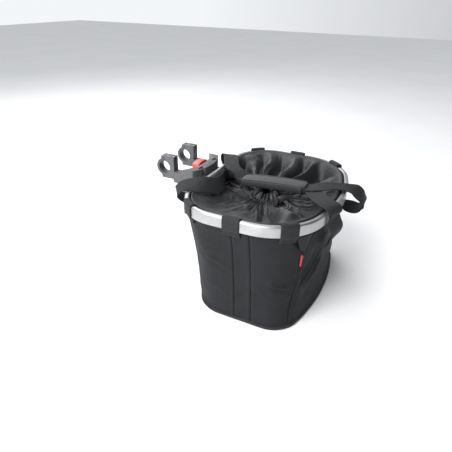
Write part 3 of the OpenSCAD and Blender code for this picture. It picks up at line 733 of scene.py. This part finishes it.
RIGHT_REAR = [
    ((-3, 42, 203.9), (1, 0, 0)), ((-3, 51, 203.2), (1, 0, 0)),
    ((-3, 59, 202.6), (0.97, 0, -0.25)), ((-4.5, 67, 202.8), (0.82, 0, -0.57)),
    ((-8.5, 74.5, 205), (0.62, 0.1, -0.76)), ((-16, 79.5, 208), (0.38, 0.05, -0.92)),
    ((-27, 80, 211), (0.12, -0.05, -1)), ((-40, 76, 212), (-0.1, -0.2, -0.97)),
    ((-54, 71, 212), (-0.2, -0.4, -0.88)), ((-70, 74, 212.5), (-0.45, -0.4, -0.8)),
    ((-86, 86, 217.5), (-0.6, -0.3, -0.72)), ((-97, 100, 219), (-0.7, -0.3, -0.6)),
    ((-104, 115, 218.5), (-0.8, -0.4, -0.4)), ((-110, 126, 216), (-0.8, -0.5, -0.25)),
    ((-113.5, 132, 211), (-0.78, -0.58, -0.2)),
    ((-113, 136, 203.5), (-0.8, -0.6, -0.1)),
    ((-107, 134, 195.5), (-0.88, -0.42, -0.05)), ((-99, 127, 187), (-0.97, -0.2, 0.05)),
    ((-93, 121, 178.5), (-1, -0.05, 0)), ((-90, 117.5, 171), (-1, 0, 0))]
LEFT_FRONT = [
    ((46, -137, 175), (1, 0.1, 0.05)), ((48, -146, 171), (0.95, 0, 0.3)),
    ((51, -158, 169), (0.9, -0.05, 0.4)), ((54, -169, 170.5), (0.95, 0, 0.2)),
    ((54, -176, 178), (0.97, 0, 0.15)), ((49, -176, 188), (0.95, 0.1, 0.25)),
    ((44, -171, 198), (0.9, 0, 0.4)), ((38, -162, 207), (0.85, 0.05, 0.5)),
    ((34, -152, 212), (0.93, 0.2, 0.2)), ((30, -142, 214.5), (0.88, 0.4, 0.1)),
    ((26, -133, 216), (0.86, 0.5, 0.05)), ((16, -117, 218), (0.85, 0.5, 0.05)),
    ((5, -101, 217.5), (0.9, 0.35, 0.05)), ((-1, -89, 215.6), (1, 0.1, 0)),
    ((-3, -79, 214.6), (1, 0, 0)), ((-3, -70, 214.6), (1, 0, 0))]
LEFT_REAR = [
    ((-3, 42, 207.1), (1, 0, 0)), ((-2.5, 51, 207.3), (0.99, -0.12, 0)),
    ((2.2, 60, 210.8), (0.94, -0.32, -0.06)), ((8.6, 70, 214.2), (0.87, -0.48, -0.1)),
    ((16, 80.5, 215.6), (0.78, -0.62, -0.1)), ((29, 91.5, 216.8), (0.6, -0.8, -0.06)),
    ((48, 102, 217.5), (0.47, -0.88, 0)), ((70, 113, 217.5), (0.45, -0.88, 0)),
    ((82, 122, 216), (0.5, -0.8, -0.12)), ((87, 129, 213.3), (0.6, -0.7, -0.13)),
    ((88, 131, 206), (0.7, -0.6, -0.15)), ((88, 130, 196), (0.85, -0.4, 0)),
    ((84, 122, 184), (0.95, -0.2, 0)), ((80, 118, 172), (1, 0, 0))]


# ---- the handle straps -----------------------------------------------------

STRAP_W, STRAP_T, STRAP_STEPS = 30.0, 1.8, 7


def strap_frame(route):
    """The middle line of a strap along a route of (place, direction of its
    width), with its directions ahead and across."""
    path = smooth_path([place for place, _ in route], STRAP_STEPS)
    across = smooth_path([np.array(wide, float) / np.linalg.norm(wide)
                          for _, wide in route], STRAP_STEPS)
    ahead = np.gradient(path, axis=0)
    ahead /= np.linalg.norm(ahead, axis=1, keepdims=True)
    across -= ahead * np.sum(across * ahead, axis=1, keepdims=True)
    across /= np.linalg.norm(across, axis=1, keepdims=True)
    return path, ahead, across


def strap_arm(name, route, slack):
    """Half a handle strap along its route. slack is how far it waves between
    the places."""
    path, ahead, across = strap_frame(route)
    up = np.cross(ahead, across)
    cells = 14
    grid = np.zeros((len(path), cells + 1, 3))
    for i in range(len(path)):
        for j in range(cells + 1):
            k = j / cells * 2 - 1
            curl = 0.9 * (k * k - 0.4) * lumpy(path[i], 30, 2.2)
            wave = slack * lumpy(path[i] + across[i] * 8 * k, 26, 5.1)
            selvedge = -0.22 * math.exp(-((abs(k) - 0.84) / 0.05) ** 2)
            grid[i, j] = (path[i] + across[i] * k * STRAP_W / 2
                          + up[i] * (curl + wave + selvedge + STRAP_T / 2))
    return shell(name, grid, STRAP_T, WEBBING, None)


ARMS = (
    ("strap_right_front", RIGHT_FRONT, "handle_strap_right",
     (-69, -141, 218), (-3, -80, 211.4)),
    ("strap_right_rear", RIGHT_REAR, "handle_strap_right",
     (-104, 115, 218), (-4, 64, 203)),
    ("strap_left_front", LEFT_FRONT, "handle_strap_left",
     (30, -142, 214), (-2, -82, 214.6)),
    ("strap_left_rear", LEFT_REAR, "handle_strap_left",
     (80, 119, 216), (0, 64, 208)))
for name, route, node_name, start, end in ARMS:
    arm = strap_arm(name, route, 0.5)
    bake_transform(arm)
    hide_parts(node_name)


# ---- the rim's webbing loops -----------------------------------------------

# Middle line of the webbing round the rim: (inset from the rim's outer face,
# height over its bottom), from the outer tab over the top to the inner tab.
LOOP_LINE = [(5.4, -13), (5.0, -8), (2.4, -3.6), (-0.3, -0.8), (-1.05, 2), (-1.05, 16.6),
             (-0.5, 19.6), (1.4, 21.3), (4.5, 21.85), (7.6, 21.3), (9.5, 19.6),
             (10.05, 16.6), (10.05, 3), (9.2, -1), (7.9, -5), (7.3, -9), (7.1, -13)]


def loop_piece(place_at, slack):
    """Webbing wrapped round the rim. place_at(inset, k) is the plan position at
    share k of its width; slack is how far it stands over the rim's top."""
    line = smooth_path(LOOP_LINE, 5)
    line[:, 1] += slack * np.clip((line[:, 1] - 15) / 6, 0, 1)
    cells = 12
    grid = np.zeros((len(line), cells + 1, 3))
    for i, (inset, z) in enumerate(line):
        for j in range(cells + 1):
            xy = place_at(inset, j / cells)
            p = np.array([xy[0], xy[1], RIM_LOW + z])
            rub = 0.35 * lumpy(p, 14, 4.4) + 0.2 * lumpy(p, 5, 0.3)
            k = j / cells * 2 - 1
            rub -= 0.2 * math.exp(-((abs(k) - 0.84) / 0.06) ** 2)
            xy = place_at(inset - max(0.0, rub) * (1 if i < len(line) / 2 else -1),
                          j / cells)
            grid[i, j] = (xy[0], xy[1], RIM_LOW + z + (rub if 6 < i % 60 < 50 else 0))
    normals = grid_normals(grid)
    if normals[len(line) // 2].mean(0)[2] < 0:
        normals = -normals
    return grid, normals


def loop_mesh(name, grid, normals, thick=1.7):
    piece = shell(name, grid + normals * thick / 2, thick, WEBBING, "basket",
                  False, normals)
    fix = bmesh.new()
    fix.from_mesh(piece.data)
    bmesh.ops.recalc_face_normals(fix, faces=fix.faces)
    fix.to_mesh(piece.data)
    fix.free()
    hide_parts(name.replace("webbing_", "rim_"))
    return piece


def corner_place(c, r, middle, side):
    half = math.degrees(STRAP_W / r / 2)

    def place_at(inset, k):
        return on_arc(c, r - inset, middle - half + 2 * half * k) * (side, 1)
    return place_at


def mid_place(side):
    return lambda inset, k: np.array([side * (RIM[0] - inset), -19 + STRAP_W * k])


LOOP_STITCHES = []
for word, side in (("left", 1), ("right", -1)):
    for where, place_at in (
            ("front", corner_place(corner_c(RIM), RIM[4], -39, side)),
            ("mid", mid_place(side)),
            ("rear", corner_place(rear_c(RIM), RIM[5], 39, side))):
        grid, normals = loop_piece(place_at, 3.5 if side > 0 else 0.8)
        loop_mesh("webbing_loop_%s_%s" % (where, word), grid, normals)
        for j in (1, 11):
            LOOP_STITCHES.append((grid[1:9, j] + normals[1:9, j] * 0.9,
                                  normals[1:9, j]))
        for i in (4, 9):
            LOOP_STITCHES.append((grid[i, 1:12] + normals[i, 1:12] * 0.9,
                                  normals[i, 1:12]))
stitches("loop_stitches", LOOP_STITCHES, THREAD, "basket", 3.4, 2.3, 0.38)

# Outwards from the left front corner seam, and along the wall past it.
seam_turn = math.radians((-90 + front_sweep(RIM)) * (2 - SEAM_TOP))
SEAM_OUT = np.array([math.cos(seam_turn), math.sin(seam_turn), 0.0])
SEAM_ALONG = np.array([-SEAM_OUT[1], SEAM_OUT[0], 0.0])

# Below each front loop its ends narrow to the corner seam.
TAB_LOW, TAB_HIGH = 155.0, 187.0
for word, side in (("left", 1), ("right", -1)):
    rows = []
    for k in np.linspace(0, 1, 15):
        z = TAB_HIGH + (TAB_LOW - TAB_HIGH) * k
        s = (z - FLOOR_T) / (WALL_TOP - FLOOR_T)
        seam = wall_point(min(s, 1.0), SEAM_BASE, SEAM_TOP)
        half = 14.0 * (1 - k) ** 0.9 + 3.0
        line = []
        for j in np.linspace(-1, 1, 11):
            stand = 3.4 - 2.6 * abs(j) ** 1.5 - (half * j) ** 2 / 210
            p = seam + SEAM_ALONG * half * j + SEAM_OUT * stand
            p[2] = z
            line.append(p * (side, 1, 1))
        rows.append(line)
    grid = np.array(rows)
    normals = grid_normals(grid)
    if np.dot(normals[7, 5], SEAM_OUT * (side, 1, 1)) < 0:
        normals = -normals
    tab = shell("loop_tab_" + word, grid + normals * 0.8, 1.6, WEBBING, "basket",
                False, normals)
    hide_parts("rim_loop_front_" + word)


# ---- the cover -------------------------------------------------------------

MOUTH = np.array([-10.0, -2.0])
MOUTH_Z, MOUTH_R, HEM_R = 182.0, 30.0, 4.0
LOCK_TURN, HEM_GAP = -118.0, 14.0
COVER_CROWN = 212.0


def cover_base(q, place):
    """The cover's plain surface: q is 0 inside the rim and 1 at the hem."""
    start = outline(RIM, RIM_T + 5, place)
    inner = outline(RIM, 30, place) - MOUTH
    end = MOUTH + inner / np.linalg.norm(inner) * (MOUTH_R + HEM_R * 0.6)
    xy = start + (end - start) * q
    crown = COVER_CROWN + 2 * start[0] / RIM[0]
    z = MOUTH_Z + 2 + (crown - MOUTH_Z - 2) * (1 - q) ** 2.7
    return np.array([xy[0], xy[1], z])


def ridge(v):
    """Noise as rounded folds with narrow valleys, from -1 to 1."""
    return 1 - 2 * min(1.0, abs(v)) ** 0.75


# Single folds: direction from the mouth and half width in degrees, height in
# millimetres, and the shares of the way inwards between which they run.
FOLDS = [
    (-60, 11, 13.0, 0.0, 0.95), (-36, 10, -24.0, 0.0, 0.75),
    (-102, 8, -8.0, 0.05, 0.85), (-122, 8, -34.0, 0.0, 0.85),
    (-142, 9, 17.0, 0.0, 0.66), (-159, 7, -24.0, 0.0, 0.7), (-22, 5, 12.0, 0.0, 0.9),
    (-47, 5, 12.0, 0.0, 0.8), (-10, 4, -12.0, 0.0, 0.9), (-82, 8, 6.0, 0.05, 0.9),
    (12, 5, -11.0, 0.05, 0.95), (21, 5, 6.0, 0.0, 0.9), (29, 4, -10.0, 0.1, 1.0),
    (38, 6, 7.0, 0.0, 0.9), (48, 4, -12.0, 0.02, 0.95), (57, 6, 6.0, 0.0, 0.9),
    (67, 5, -9.0, 0.05, 0.9), (78, 6, 5.0, 0.1, 0.9), (0, 6, 6.0, 0.0, 0.9),
    (-13, 6, -8.0, 0.05, 0.9), (100, 7, -7.0, 0.1, 0.9), (150, 12, -6.0, 0.15, 0.95),
    (172, 14, 5.0, 0.1, 0.9), (196, 9, -14.0, 0.2, 0.95), (214, 9, 6.0, 0.1, 0.95),
    (232, 8, -9.0, 0.2, 0.95), (128, 10, 4.0, 0.1, 0.9),
]


def pleats(q, angle):
    """Height of the gathers over the plain cover."""
    c, s = math.cos(angle), math.sin(angle)
    bend = angle + 0.13 * noise.noise(Vector((c * 2, s * 2, q * 2.5)))
    degrees = math.degrees(bend)
    total = 0.0
    for middle, half, height, start, stop in FOLDS:
        away = abs((degrees - middle + 180) % 360 - 180) / (half * (1.15 - 0.35 * q))
        if away < 2.6 and start < q < stop:
            k = (q - start) / (stop - start)
            total += height * math.exp(-away * away) * min(1.0, k * 5, (1 - k) * 3)
    c, s = math.cos(bend), math.sin(bend)
    mid = ridge(noise.noise(Vector((c * 5.2, s * 5.2 + 9, q * 1.1))) * 2.4)
    tight = ridge(noise.noise(Vector((c * 11 + 3, s * 11, q * 1.5 + 4))) * 2.2)
    fine = noise.noise(Vector((c * 24, s * 24, q * 3)))
    far = max(0.0, math.cos(angle - 0.45))
    edge = min(1.0, q / 0.10)
    return edge * (1.3 * total * (0.75 + 0.25 * far)
                   + (2.0 + 2.0 * far) * mid * min(1.0, q * 2.4) * (1.15 - 0.55 * q)
                   + (1.6 + 0.8 * far) * tight * q ** 0.8 + 0.6 * fine * q)


def cover_rows():
    around, down = 620, 66
    grid = np.zeros((around, down + 5, 3))
    for i in range(around):
        place = 10.0 * i / around
        for j in range(down + 1):
            q = (j / down) ** 0.9
            p = cover_base(q, place)
            angle = math.atan2(p[1] - MOUTH[1], p[0] - MOUTH[0])
            h = pleats(q, angle)
            crumple = 2.3 * lumpy(p, 26, 9.9) + 1.2 * lumpy(p, 11, 4.2)
            side = noise.noise(Vector((math.cos(angle) * 12, math.sin(angle) * 12, 8)))
            p[2] += max(h, MOUTH_Z - 8 - p[2]) + crumple * min(1.0, q * 6) * min(
                1.0, (1 - q) * 4 + 0.3)
            turn = np.array([-math.sin(angle), math.cos(angle)])
            p[:2] += turn * 2.4 * side * q * (1 - q) * 4
            grid[i, j + 4] = p
        for j, (inset, z) in enumerate(((2.0, RIM_LOW - 2), (2.2, RIM_LOW + 8),
                                        (2.3, BASKET_H - 3.5), (3.4, BASKET_H + 0.1))):
            xy = outline(RIM, RIM_T + inset, place)
            puff = 0.6 * noise.noise(Vector((xy[0] / 9, xy[1] / 9, z / 20)))
            grid[i, j] = (xy[0], xy[1], z + (puff if j > 1 else 0))
    return grid


def pressed_under(grid, route, clear=1.6, reach=3.6):
    """Press the cover down under a strap, which leaves clear under it. reach is
    how far from the strap's lines the cover follows."""
    path, _, across = strap_frame(route)
    half = STRAP_W / 2 + 0.5
    under = np.concatenate([path + across * k for k in np.linspace(-half, half, 22)])
    flat = grid[:, 4:].reshape(-1, 3)
    for spot in under:
        near = np.hypot(*(flat[:, :2] - spot[:2]).T) < reach
        flat[near, 2] = np.minimum(flat[near, 2], spot[2] - STRAP_T / 2 - clear)
    grid[:, 4:] = flat.reshape(grid[:, 4:].shape)


cover_grid = cover_rows()
# The right strap lies on the cover until it rises over the rim.
pressed_under(cover_grid, [step for step in RIGHT_REAR if step[0][1] < 110])
cover_normals = grid_normals(cover_grid, True)
if cover_normals[:, 30, 2].mean() < 0:
    cover_normals = -cover_normals
cover = shell("cover_cloth", cover_grid, 1.1, COVER, "basket", True, cover_normals)
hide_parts("cover")


def mouth_place(degrees, radius, z):
    a = math.radians(LOCK_TURN + degrees)
    return np.array([MOUTH[0] + radius * math.cos(a), MOUTH[1] + radius * math.sin(a),
                     MOUTH_Z + z])


rings = []
spots = np.linspace(HEM_GAP, 360 - HEM_GAP, 421)
for spot in spots:
    ruffle = (0.62 * math.sin(math.radians(spot * 41 + 60 * math.sin(spot / 19)))
              + 0.38 * lumpy((spot * 0.9, 0, 0), 2.3, 6.1))
    pinch = min(1.0, (spot - HEM_GAP + 3) / 12, (360 - HEM_GAP + 3 - spot) / 12)
    ring = []
    for k in range(18):
        a = 2 * math.pi * k / 18
        r = (HEM_R * 0.95 + 0.95 * ruffle * (0.6 + 0.4 * math.sin(a))) * (
            0.55 + 0.45 * pinch)
        lift = 1.1 * ruffle + 1.6 * lumpy((spot, 3, 1), 37)
        ring.append(mouth_place(spot + 0.6 * ruffle, MOUTH_R + r * math.cos(a),
                                r * 1.12 * math.sin(a) + lift))
    rings.append(ring)
rings = np.array(rings)
faces = []
for i in range(len(rings) - 1):
    faces += [(i * 18 + k, i * 18 + (k + 1) % 18, (i + 1) * 18 + (k + 1) % 18,
               (i + 1) * 18 + k) for k in range(18)]
faces += [tuple(range(18))[::-1], tuple(range((len(rings) - 1) * 18, len(rings) * 18))]
hem = new_piece("hem_cloth", placed(rings.reshape(-1, 3)), faces, COVER, "basket")
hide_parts("mouth_hem")

# The edge of the cloth beyond the drawstring stands up in ruffles that lean
# inwards over the opening.
frill = np.zeros((520, 15, 3))
for i in range(520):
    spot = 360.0 * i / 520
    ruffle = (math.sin(math.radians(spot * 19 + 70 * math.sin(spot / 23)))
              + 0.5 * math.sin(math.radians(spot * 31 + 110 * math.sin(spot / 31))))
    reach = 15.0 + 5.0 * noise.noise(Vector((math.cos(math.radians(spot)) * 2.2,
                                             math.sin(math.radians(spot)) * 2.2, 3)))
    tall = 11.0 + 6.0 * noise.noise(Vector((math.cos(math.radians(spot)) * 1.8,
                                            math.sin(math.radians(spot)) * 1.8, 7)))
    for j in range(15):
        k = j / 14
        radius = MOUTH_R - 1.5 - reach * k ** 1.25 + 2.3 * ruffle * k ** 0.8
        z = 1.5 + tall * math.sin(k * 1.75) + 1.9 * ruffle * k
        frill[i, j] = mouth_place(spot + 4.0 * ruffle * k, radius, z)
frill_piece = shell("mouth_frill", frill, 1.0, COVER, "basket", True)


# ---- the padded grip -------------------------------------------------------

GRIP_Y, GRIP_L, GRIP_Z, GRIP_DROP = -75.0, 124.0, 213.0, 8.0
GRIP_W, GRIP_H = 34.0, 15.0


def grip_section(w, h, count, power=3.2):
    """Rounded rectangle as (x, z) points, anticlockwise from +x."""
    out = []
    for k in range(count):
        a = 2 * math.pi * k / count
        c, s = math.cos(a), math.sin(a)
        out.append((w / 2 * math.copysign(abs(c) ** (2 / power), c),
                    h / 2 * math.copysign(abs(s) ** (2 / power), s)))
    return out


def along_grip(k):
    """Middle of the grip at share k of its length, which arches a little."""
    return np.array([-3.0, GRIP_Y + GRIP_L * k,
                     GRIP_Z - GRIP_DROP * k + 2.2 * math.sin(math.pi * k) - 0.7])


def grip_mesh(shrink=0.0, rows=62, count=56):
    rings = []
    for i in range(rows + 1):
        k = i / rows
        end = min(k, 1 - k) * GRIP_L
        tight = 1 - 0.10 * math.exp(-(end / 3.0) ** 2)
        mid = along_grip(k)
        ring = []
        for x, z in grip_section((GRIP_W - shrink) * tight, (GRIP_H - shrink) * tight,
                                 count):
            p = mid + np.array([x, 0.0, z])
            puff = 0.7 * lumpy(p, 26, 1.2) + 0.3 * lumpy(p, 9, 6.6)
            seam = -0.8 * math.exp(-((end - 5.0) / 0.8) ** 2)
            ring.append(mid + np.array([x, 0.0, z]) * (1 + (puff + seam) / 14))
        rings.append(ring)
    p = np.array(rings)
    faces = []
    for i in range(rows):
        a, b = i * count, (i + 1) * count
        faces += [(a + k, b + k, b + (k + 1) % count, a + (k + 1) % count)
                  for k in range(count)]
    verts = list(p.reshape(-1, 3))
    # The ends turn in round the straps.
    for i, sign in ((0, 1), (rows, -1)):
        last = list(range(i * count, (i + 1) * count))
        for share, depth in ((0.9, -1.1), (0.78, -0.6), (0.72, 2.0)):
            mid = along_grip(i / rows)
            base = len(verts)
            for k in range(count):
                q = mid + (p[i, k] - mid) * (share, 1, share)
                verts.append(q + np.array([0, sign * depth, 0]))
            new = list(range(base, base + count))
            for k in range(count):
                quad = (last[k], last[(k + 1) % count], new[(k + 1) % count], new[k])
                faces.append(quad if sign > 0 else quad[::-1])
            last = new
        faces.append(tuple(last) if sign > 0 else tuple(last[::-1]))
    return np.array(verts), faces


verts, faces = grip_mesh()
grip = new_piece("grip_pad", placed(verts), faces, GRIP, "grip")
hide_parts("carry_grip")

# The closure flap wraps over the grip's -X side and under it.
flap_rows = []
for i in range(61):
    k = 0.02 + 0.96 * i / 60
    mid = along_grip(k)
    line = []
    for j in range(25):
        a = math.radians(157 + 118 * j / 24)
        c, s = math.cos(a), math.sin(a)
        x = (GRIP_W / 2 + 1.3) * math.copysign(abs(c) ** 0.62, c)
        z = (GRIP_H / 2 + 1.3) * math.copysign(abs(s) ** 0.62, s)
        p = mid + np.array([x, 0, z])
        lift = 0.5 * max(0.0, lumpy(p, 22, 3.3)) + (0.9 if j < 2 else 0.0) * max(
            0.0, lumpy(p, 30, 8.1))
        line.append(mid + np.array([x, 0, z]) * (1 + lift / 14))
    flap_rows.append(line)
flap_grid = np.array(flap_rows)
flap_normals = grid_normals(flap_grid)
if flap_normals[30, 6][0] > 0:
    flap_normals = -flap_normals
flap = shell("grip_flap", flap_grid + flap_normals * 0.3, 1.3, CLOSURE, "grip",
             False, flap_normals)
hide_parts("grip_closure")
GRIP_RUNS = []
for j in (2, 22):
    GRIP_RUNS.append((flap_grid[2:-2, j] + flap_normals[2:-2, j] * 0.5,
                      flap_normals[2:-2, j]))
stitches("grip_stitches", GRIP_RUNS, THREAD, "grip", 3.6, 2.4, 0.36)


def edge_cord(name, points, radius, finish, body):
    verts, faces = tube_mesh(points, radius, 8)
    return new_piece(name, placed(verts), faces, finish, body)


# Piping along the top edges of the grip.
for name, side in (("grip_piping_near", -1), ("grip_piping_far", 1)):
    line = []
    for k in np.linspace(0.015, 0.985, 70):
        mid = along_grip(k)
        line.append(mid + np.array([side * (GRIP_W / 2 - 1.9), 0, GRIP_H / 2 - 1.3]))
    piping = edge_cord(name, line, 1.05, GRIP, "grip")


# ---- the tag, the binding and the base -------------------------------------

TAG_Z, TAG_H, TAG_OUT = 123.0, 22.0, 5.4
tag_rows = []
for i in range(25):
    z = TAG_Z + TAG_H * i / 24
    s = (z - FLOOR_T) / (WALL_TOP - FLOOR_T)
    seam = wall_point(s, SEAM_BASE, SEAM_TOP)
    seam[2] = z
    line = []
    for j in range(21):
        k = j / 20 * 2 - 1
        reach = TAG_OUT * (1 - abs(k) ** 2.6) - 1.2
        bulge = 0.0
        if abs(k) > 0.02:
            bulge = 0.75 * math.copysign(1 - abs(abs(k) * 1.3 - 0.5), k)
        sway = 0.35 * math.sin(i / 5.0) * (1 - abs(k))
        line.append((seam + SEAM_OUT * reach + SEAM_ALONG * (bulge * 0.9 + sway))
                    * (-1, 1, 1))
    tag_rows.append(line)
tag = shell("tag", np.array(tag_rows), 0.5, RED_CLOTH, "basket")
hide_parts("side_tag")

places = np.linspace(0, 10, 400, endpoint=False)
rows = []
for place in places:
    line = []
    for z, inset in ((0.3, 6.0), (0.0, 1.0), (0.5, -1.5), (2.0, -2.3), (4.0, -2.1),
                     (5.1, -1.5), (5.7, -0.4)):
        xy = outline(BASE, inset, place)
        puff = 0.3 * noise.noise(Vector((xy[0] / 16, xy[1] / 16, z / 9)))
        xy = outline(BASE, inset - puff, place)
        line.append((*xy, z))
    rows.append(line)
grid = np.array(rows)
normals = grid_normals(grid, True)
if normals[0, 3][1] > 0:
    normals = -normals
binding = shell("binding_cloth", grid, 1.0, BAG_DARK, "basket", True, normals)
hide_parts("base_binding")
stitches("binding_stitches", [(grid[:, 4] + normals[:, 4] * 0.2, normals[:, 4])],
         THREAD, "basket", 4.2, 2.8, 0.36)

rings = []
for share in np.linspace(0.02, 1, 26):
    ring = []
    for place in places[::4]:
        xy = outline(BASE, 0.6, place) * share
        z = 0.55 + 0.35 * lumpy((xy[0], xy[1], 0), 34, 2.9) * (1 - share ** 6)
        ring.append((xy[0], xy[1], z))
    rings.append(ring)
grid = np.array(rings).transpose(1, 0, 2)
down = np.zeros_like(grid)
down[:, :, 2] = -1
under = shell("base_cloth", grid, 1.6, BAG, "basket", True, down)
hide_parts("base_panel")


# ---- hard parts with rounded edges -----------------------------------------

def rounded_copy(node_name, width, body, finish, angle=32):
    """A copy of a CAD node with its edges rounded, which stands for it."""
    source = nodes[node_name]
    mesh = source.data.copy()
    build = bmesh.new()
    build.from_mesh(mesh)
    bmesh.ops.remove_doubles(build, verts=build.verts, dist=2e-6)
    bmesh.ops.dissolve_limit(build, angle_limit=math.radians(1.5), verts=build.verts,
                             edges=build.edges)
    build.to_mesh(mesh)
    build.free()
    mesh.materials.clear()
    mesh.materials.append(finish)
    mesh.polygons.foreach_set("use_smooth", [True] * len(mesh.polygons))
    piece = bpy.data.objects.new("round_" + node_name, mesh)
    bpy.context.scene.collection.objects.link(piece)
    edge = piece.modifiers.new("edges", "BEVEL")
    edge.width, edge.segments = width * MM, 2
    edge.limit_method, edge.angle_limit = "ANGLE", math.radians(angle)
    edge.harden_normals = True
    edge.use_clamp_overlap = True
    bpy.context.view_layer.update()
    solid = bpy.data.meshes.new_from_object(
        piece.evaluated_get(bpy.context.evaluated_depsgraph_get()))
    piece.modifiers.clear()
    piece.data = solid
    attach(piece, body)
    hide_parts(node_name)
    return piece


for node_name, width, body, finish, slot in (
        ("adapter_body", 1.1, "adapter", ADAPTER, "adapter_plastic"),
        ("clamp_cap_left", 0.9, "adapter", ADAPTER, "adapter_plastic"),
        ("clamp_cap_right", 0.9, "adapter", ADAPTER, "adapter_plastic"),
        ("release_button", 1.3, "button", RED, "red_plastic"),
        ("hook_plate", 0.7, "basket", BLACK, "black_plastic"),
        ("latch_tongue", 0.3, "adapter", BLACK, "black_plastic"),
        ("cord_lock_body", 0.8, "basket", BLACK, "black_plastic"),
        ("cord_lock_button", 0.8, "lock_button", BLACK, "black_plastic")):
    piece = rounded_copy(node_name, width, body, finish)
    if node_name == "latch_tongue":
        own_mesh(piece)


def spring_piece(name, centre, axis, height, radius, wire, turns, body):
    """A helical spring with closed ends, from centre along axis."""
    axis = np.array(axis, float) / np.linalg.norm(axis)
    side = np.cross(axis, (0.3, 0.2, 0.93))
    side /= np.linalg.norm(side)
    up = np.cross(axis, side)
    line = []
    for k in np.linspace(0, 1, int(turns * 20)):
        a = 2 * math.pi * turns * k
        rise = wire + (height - 2 * wire) * (k * k * (3 - 2 * k) * 0.35 + k * 0.65)
        line.append(np.array(centre) + axis * rise
                    + radius * (math.cos(a) * side + math.sin(a) * up))
    verts, faces = tube_mesh(line, wire, 8)
    return new_piece(name, np.array(verts) * MM, faces, STEEL, body)


low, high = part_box("button_spring")
spring = spring_piece("spring_of_button", (0, -54.5, low[2] / MM), (0, 0, 1),
                      (high[2] - low[2]) / MM, 4.6, 0.5, 8, "adapter")
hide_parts("button_spring")
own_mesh(spring)

press = np.array([0.88295, -0.46947, 0.0])
lock_mid = np.array(mouth_place(0, 43.0, 10.5)) + BASKET
back_end = lock_mid + press * 9.3
spring = spring_piece("spring_of_lock", back_end, -press, 4.2, 4.0, 0.35, 3.5, "basket")
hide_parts("cord_lock_spring")
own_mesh(spring)

# The drawstring runs inside the hem and out through the lock.
LIFT = 10.5
ends = [(52, 2, LIFT), (43, 2, LIFT), (35, 2, LIFT - 0.5), (32.5, 3.5, 5.5),
        (30.5, 5.5, 1.8)]


def at_mouth(p):
    a = math.radians(LOCK_TURN)
    return (MOUTH[0] + p[0] * math.cos(a) - p[1] * math.sin(a),
            MOUTH[1] + p[0] * math.sin(a) + p[1] * math.cos(a), MOUTH_Z + p[2])


ring = [(MOUTH_R * math.cos(math.radians(a)), MOUTH_R * math.sin(math.radians(a)), 0)
        for a in np.arange(14, 347, 12)]
line = [at_mouth(p) for p in ends + ring + [(x, -y, z) for x, y, z in ends[::-1]]]
verts, faces = tube_mesh(smooth_path(line, 4), CORD_R, 12)
string = new_piece("string", placed(verts), faces, CORD, "basket")
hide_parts("drawstring")

# ---- the sizes -------------------------------------------------------------

low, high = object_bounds()
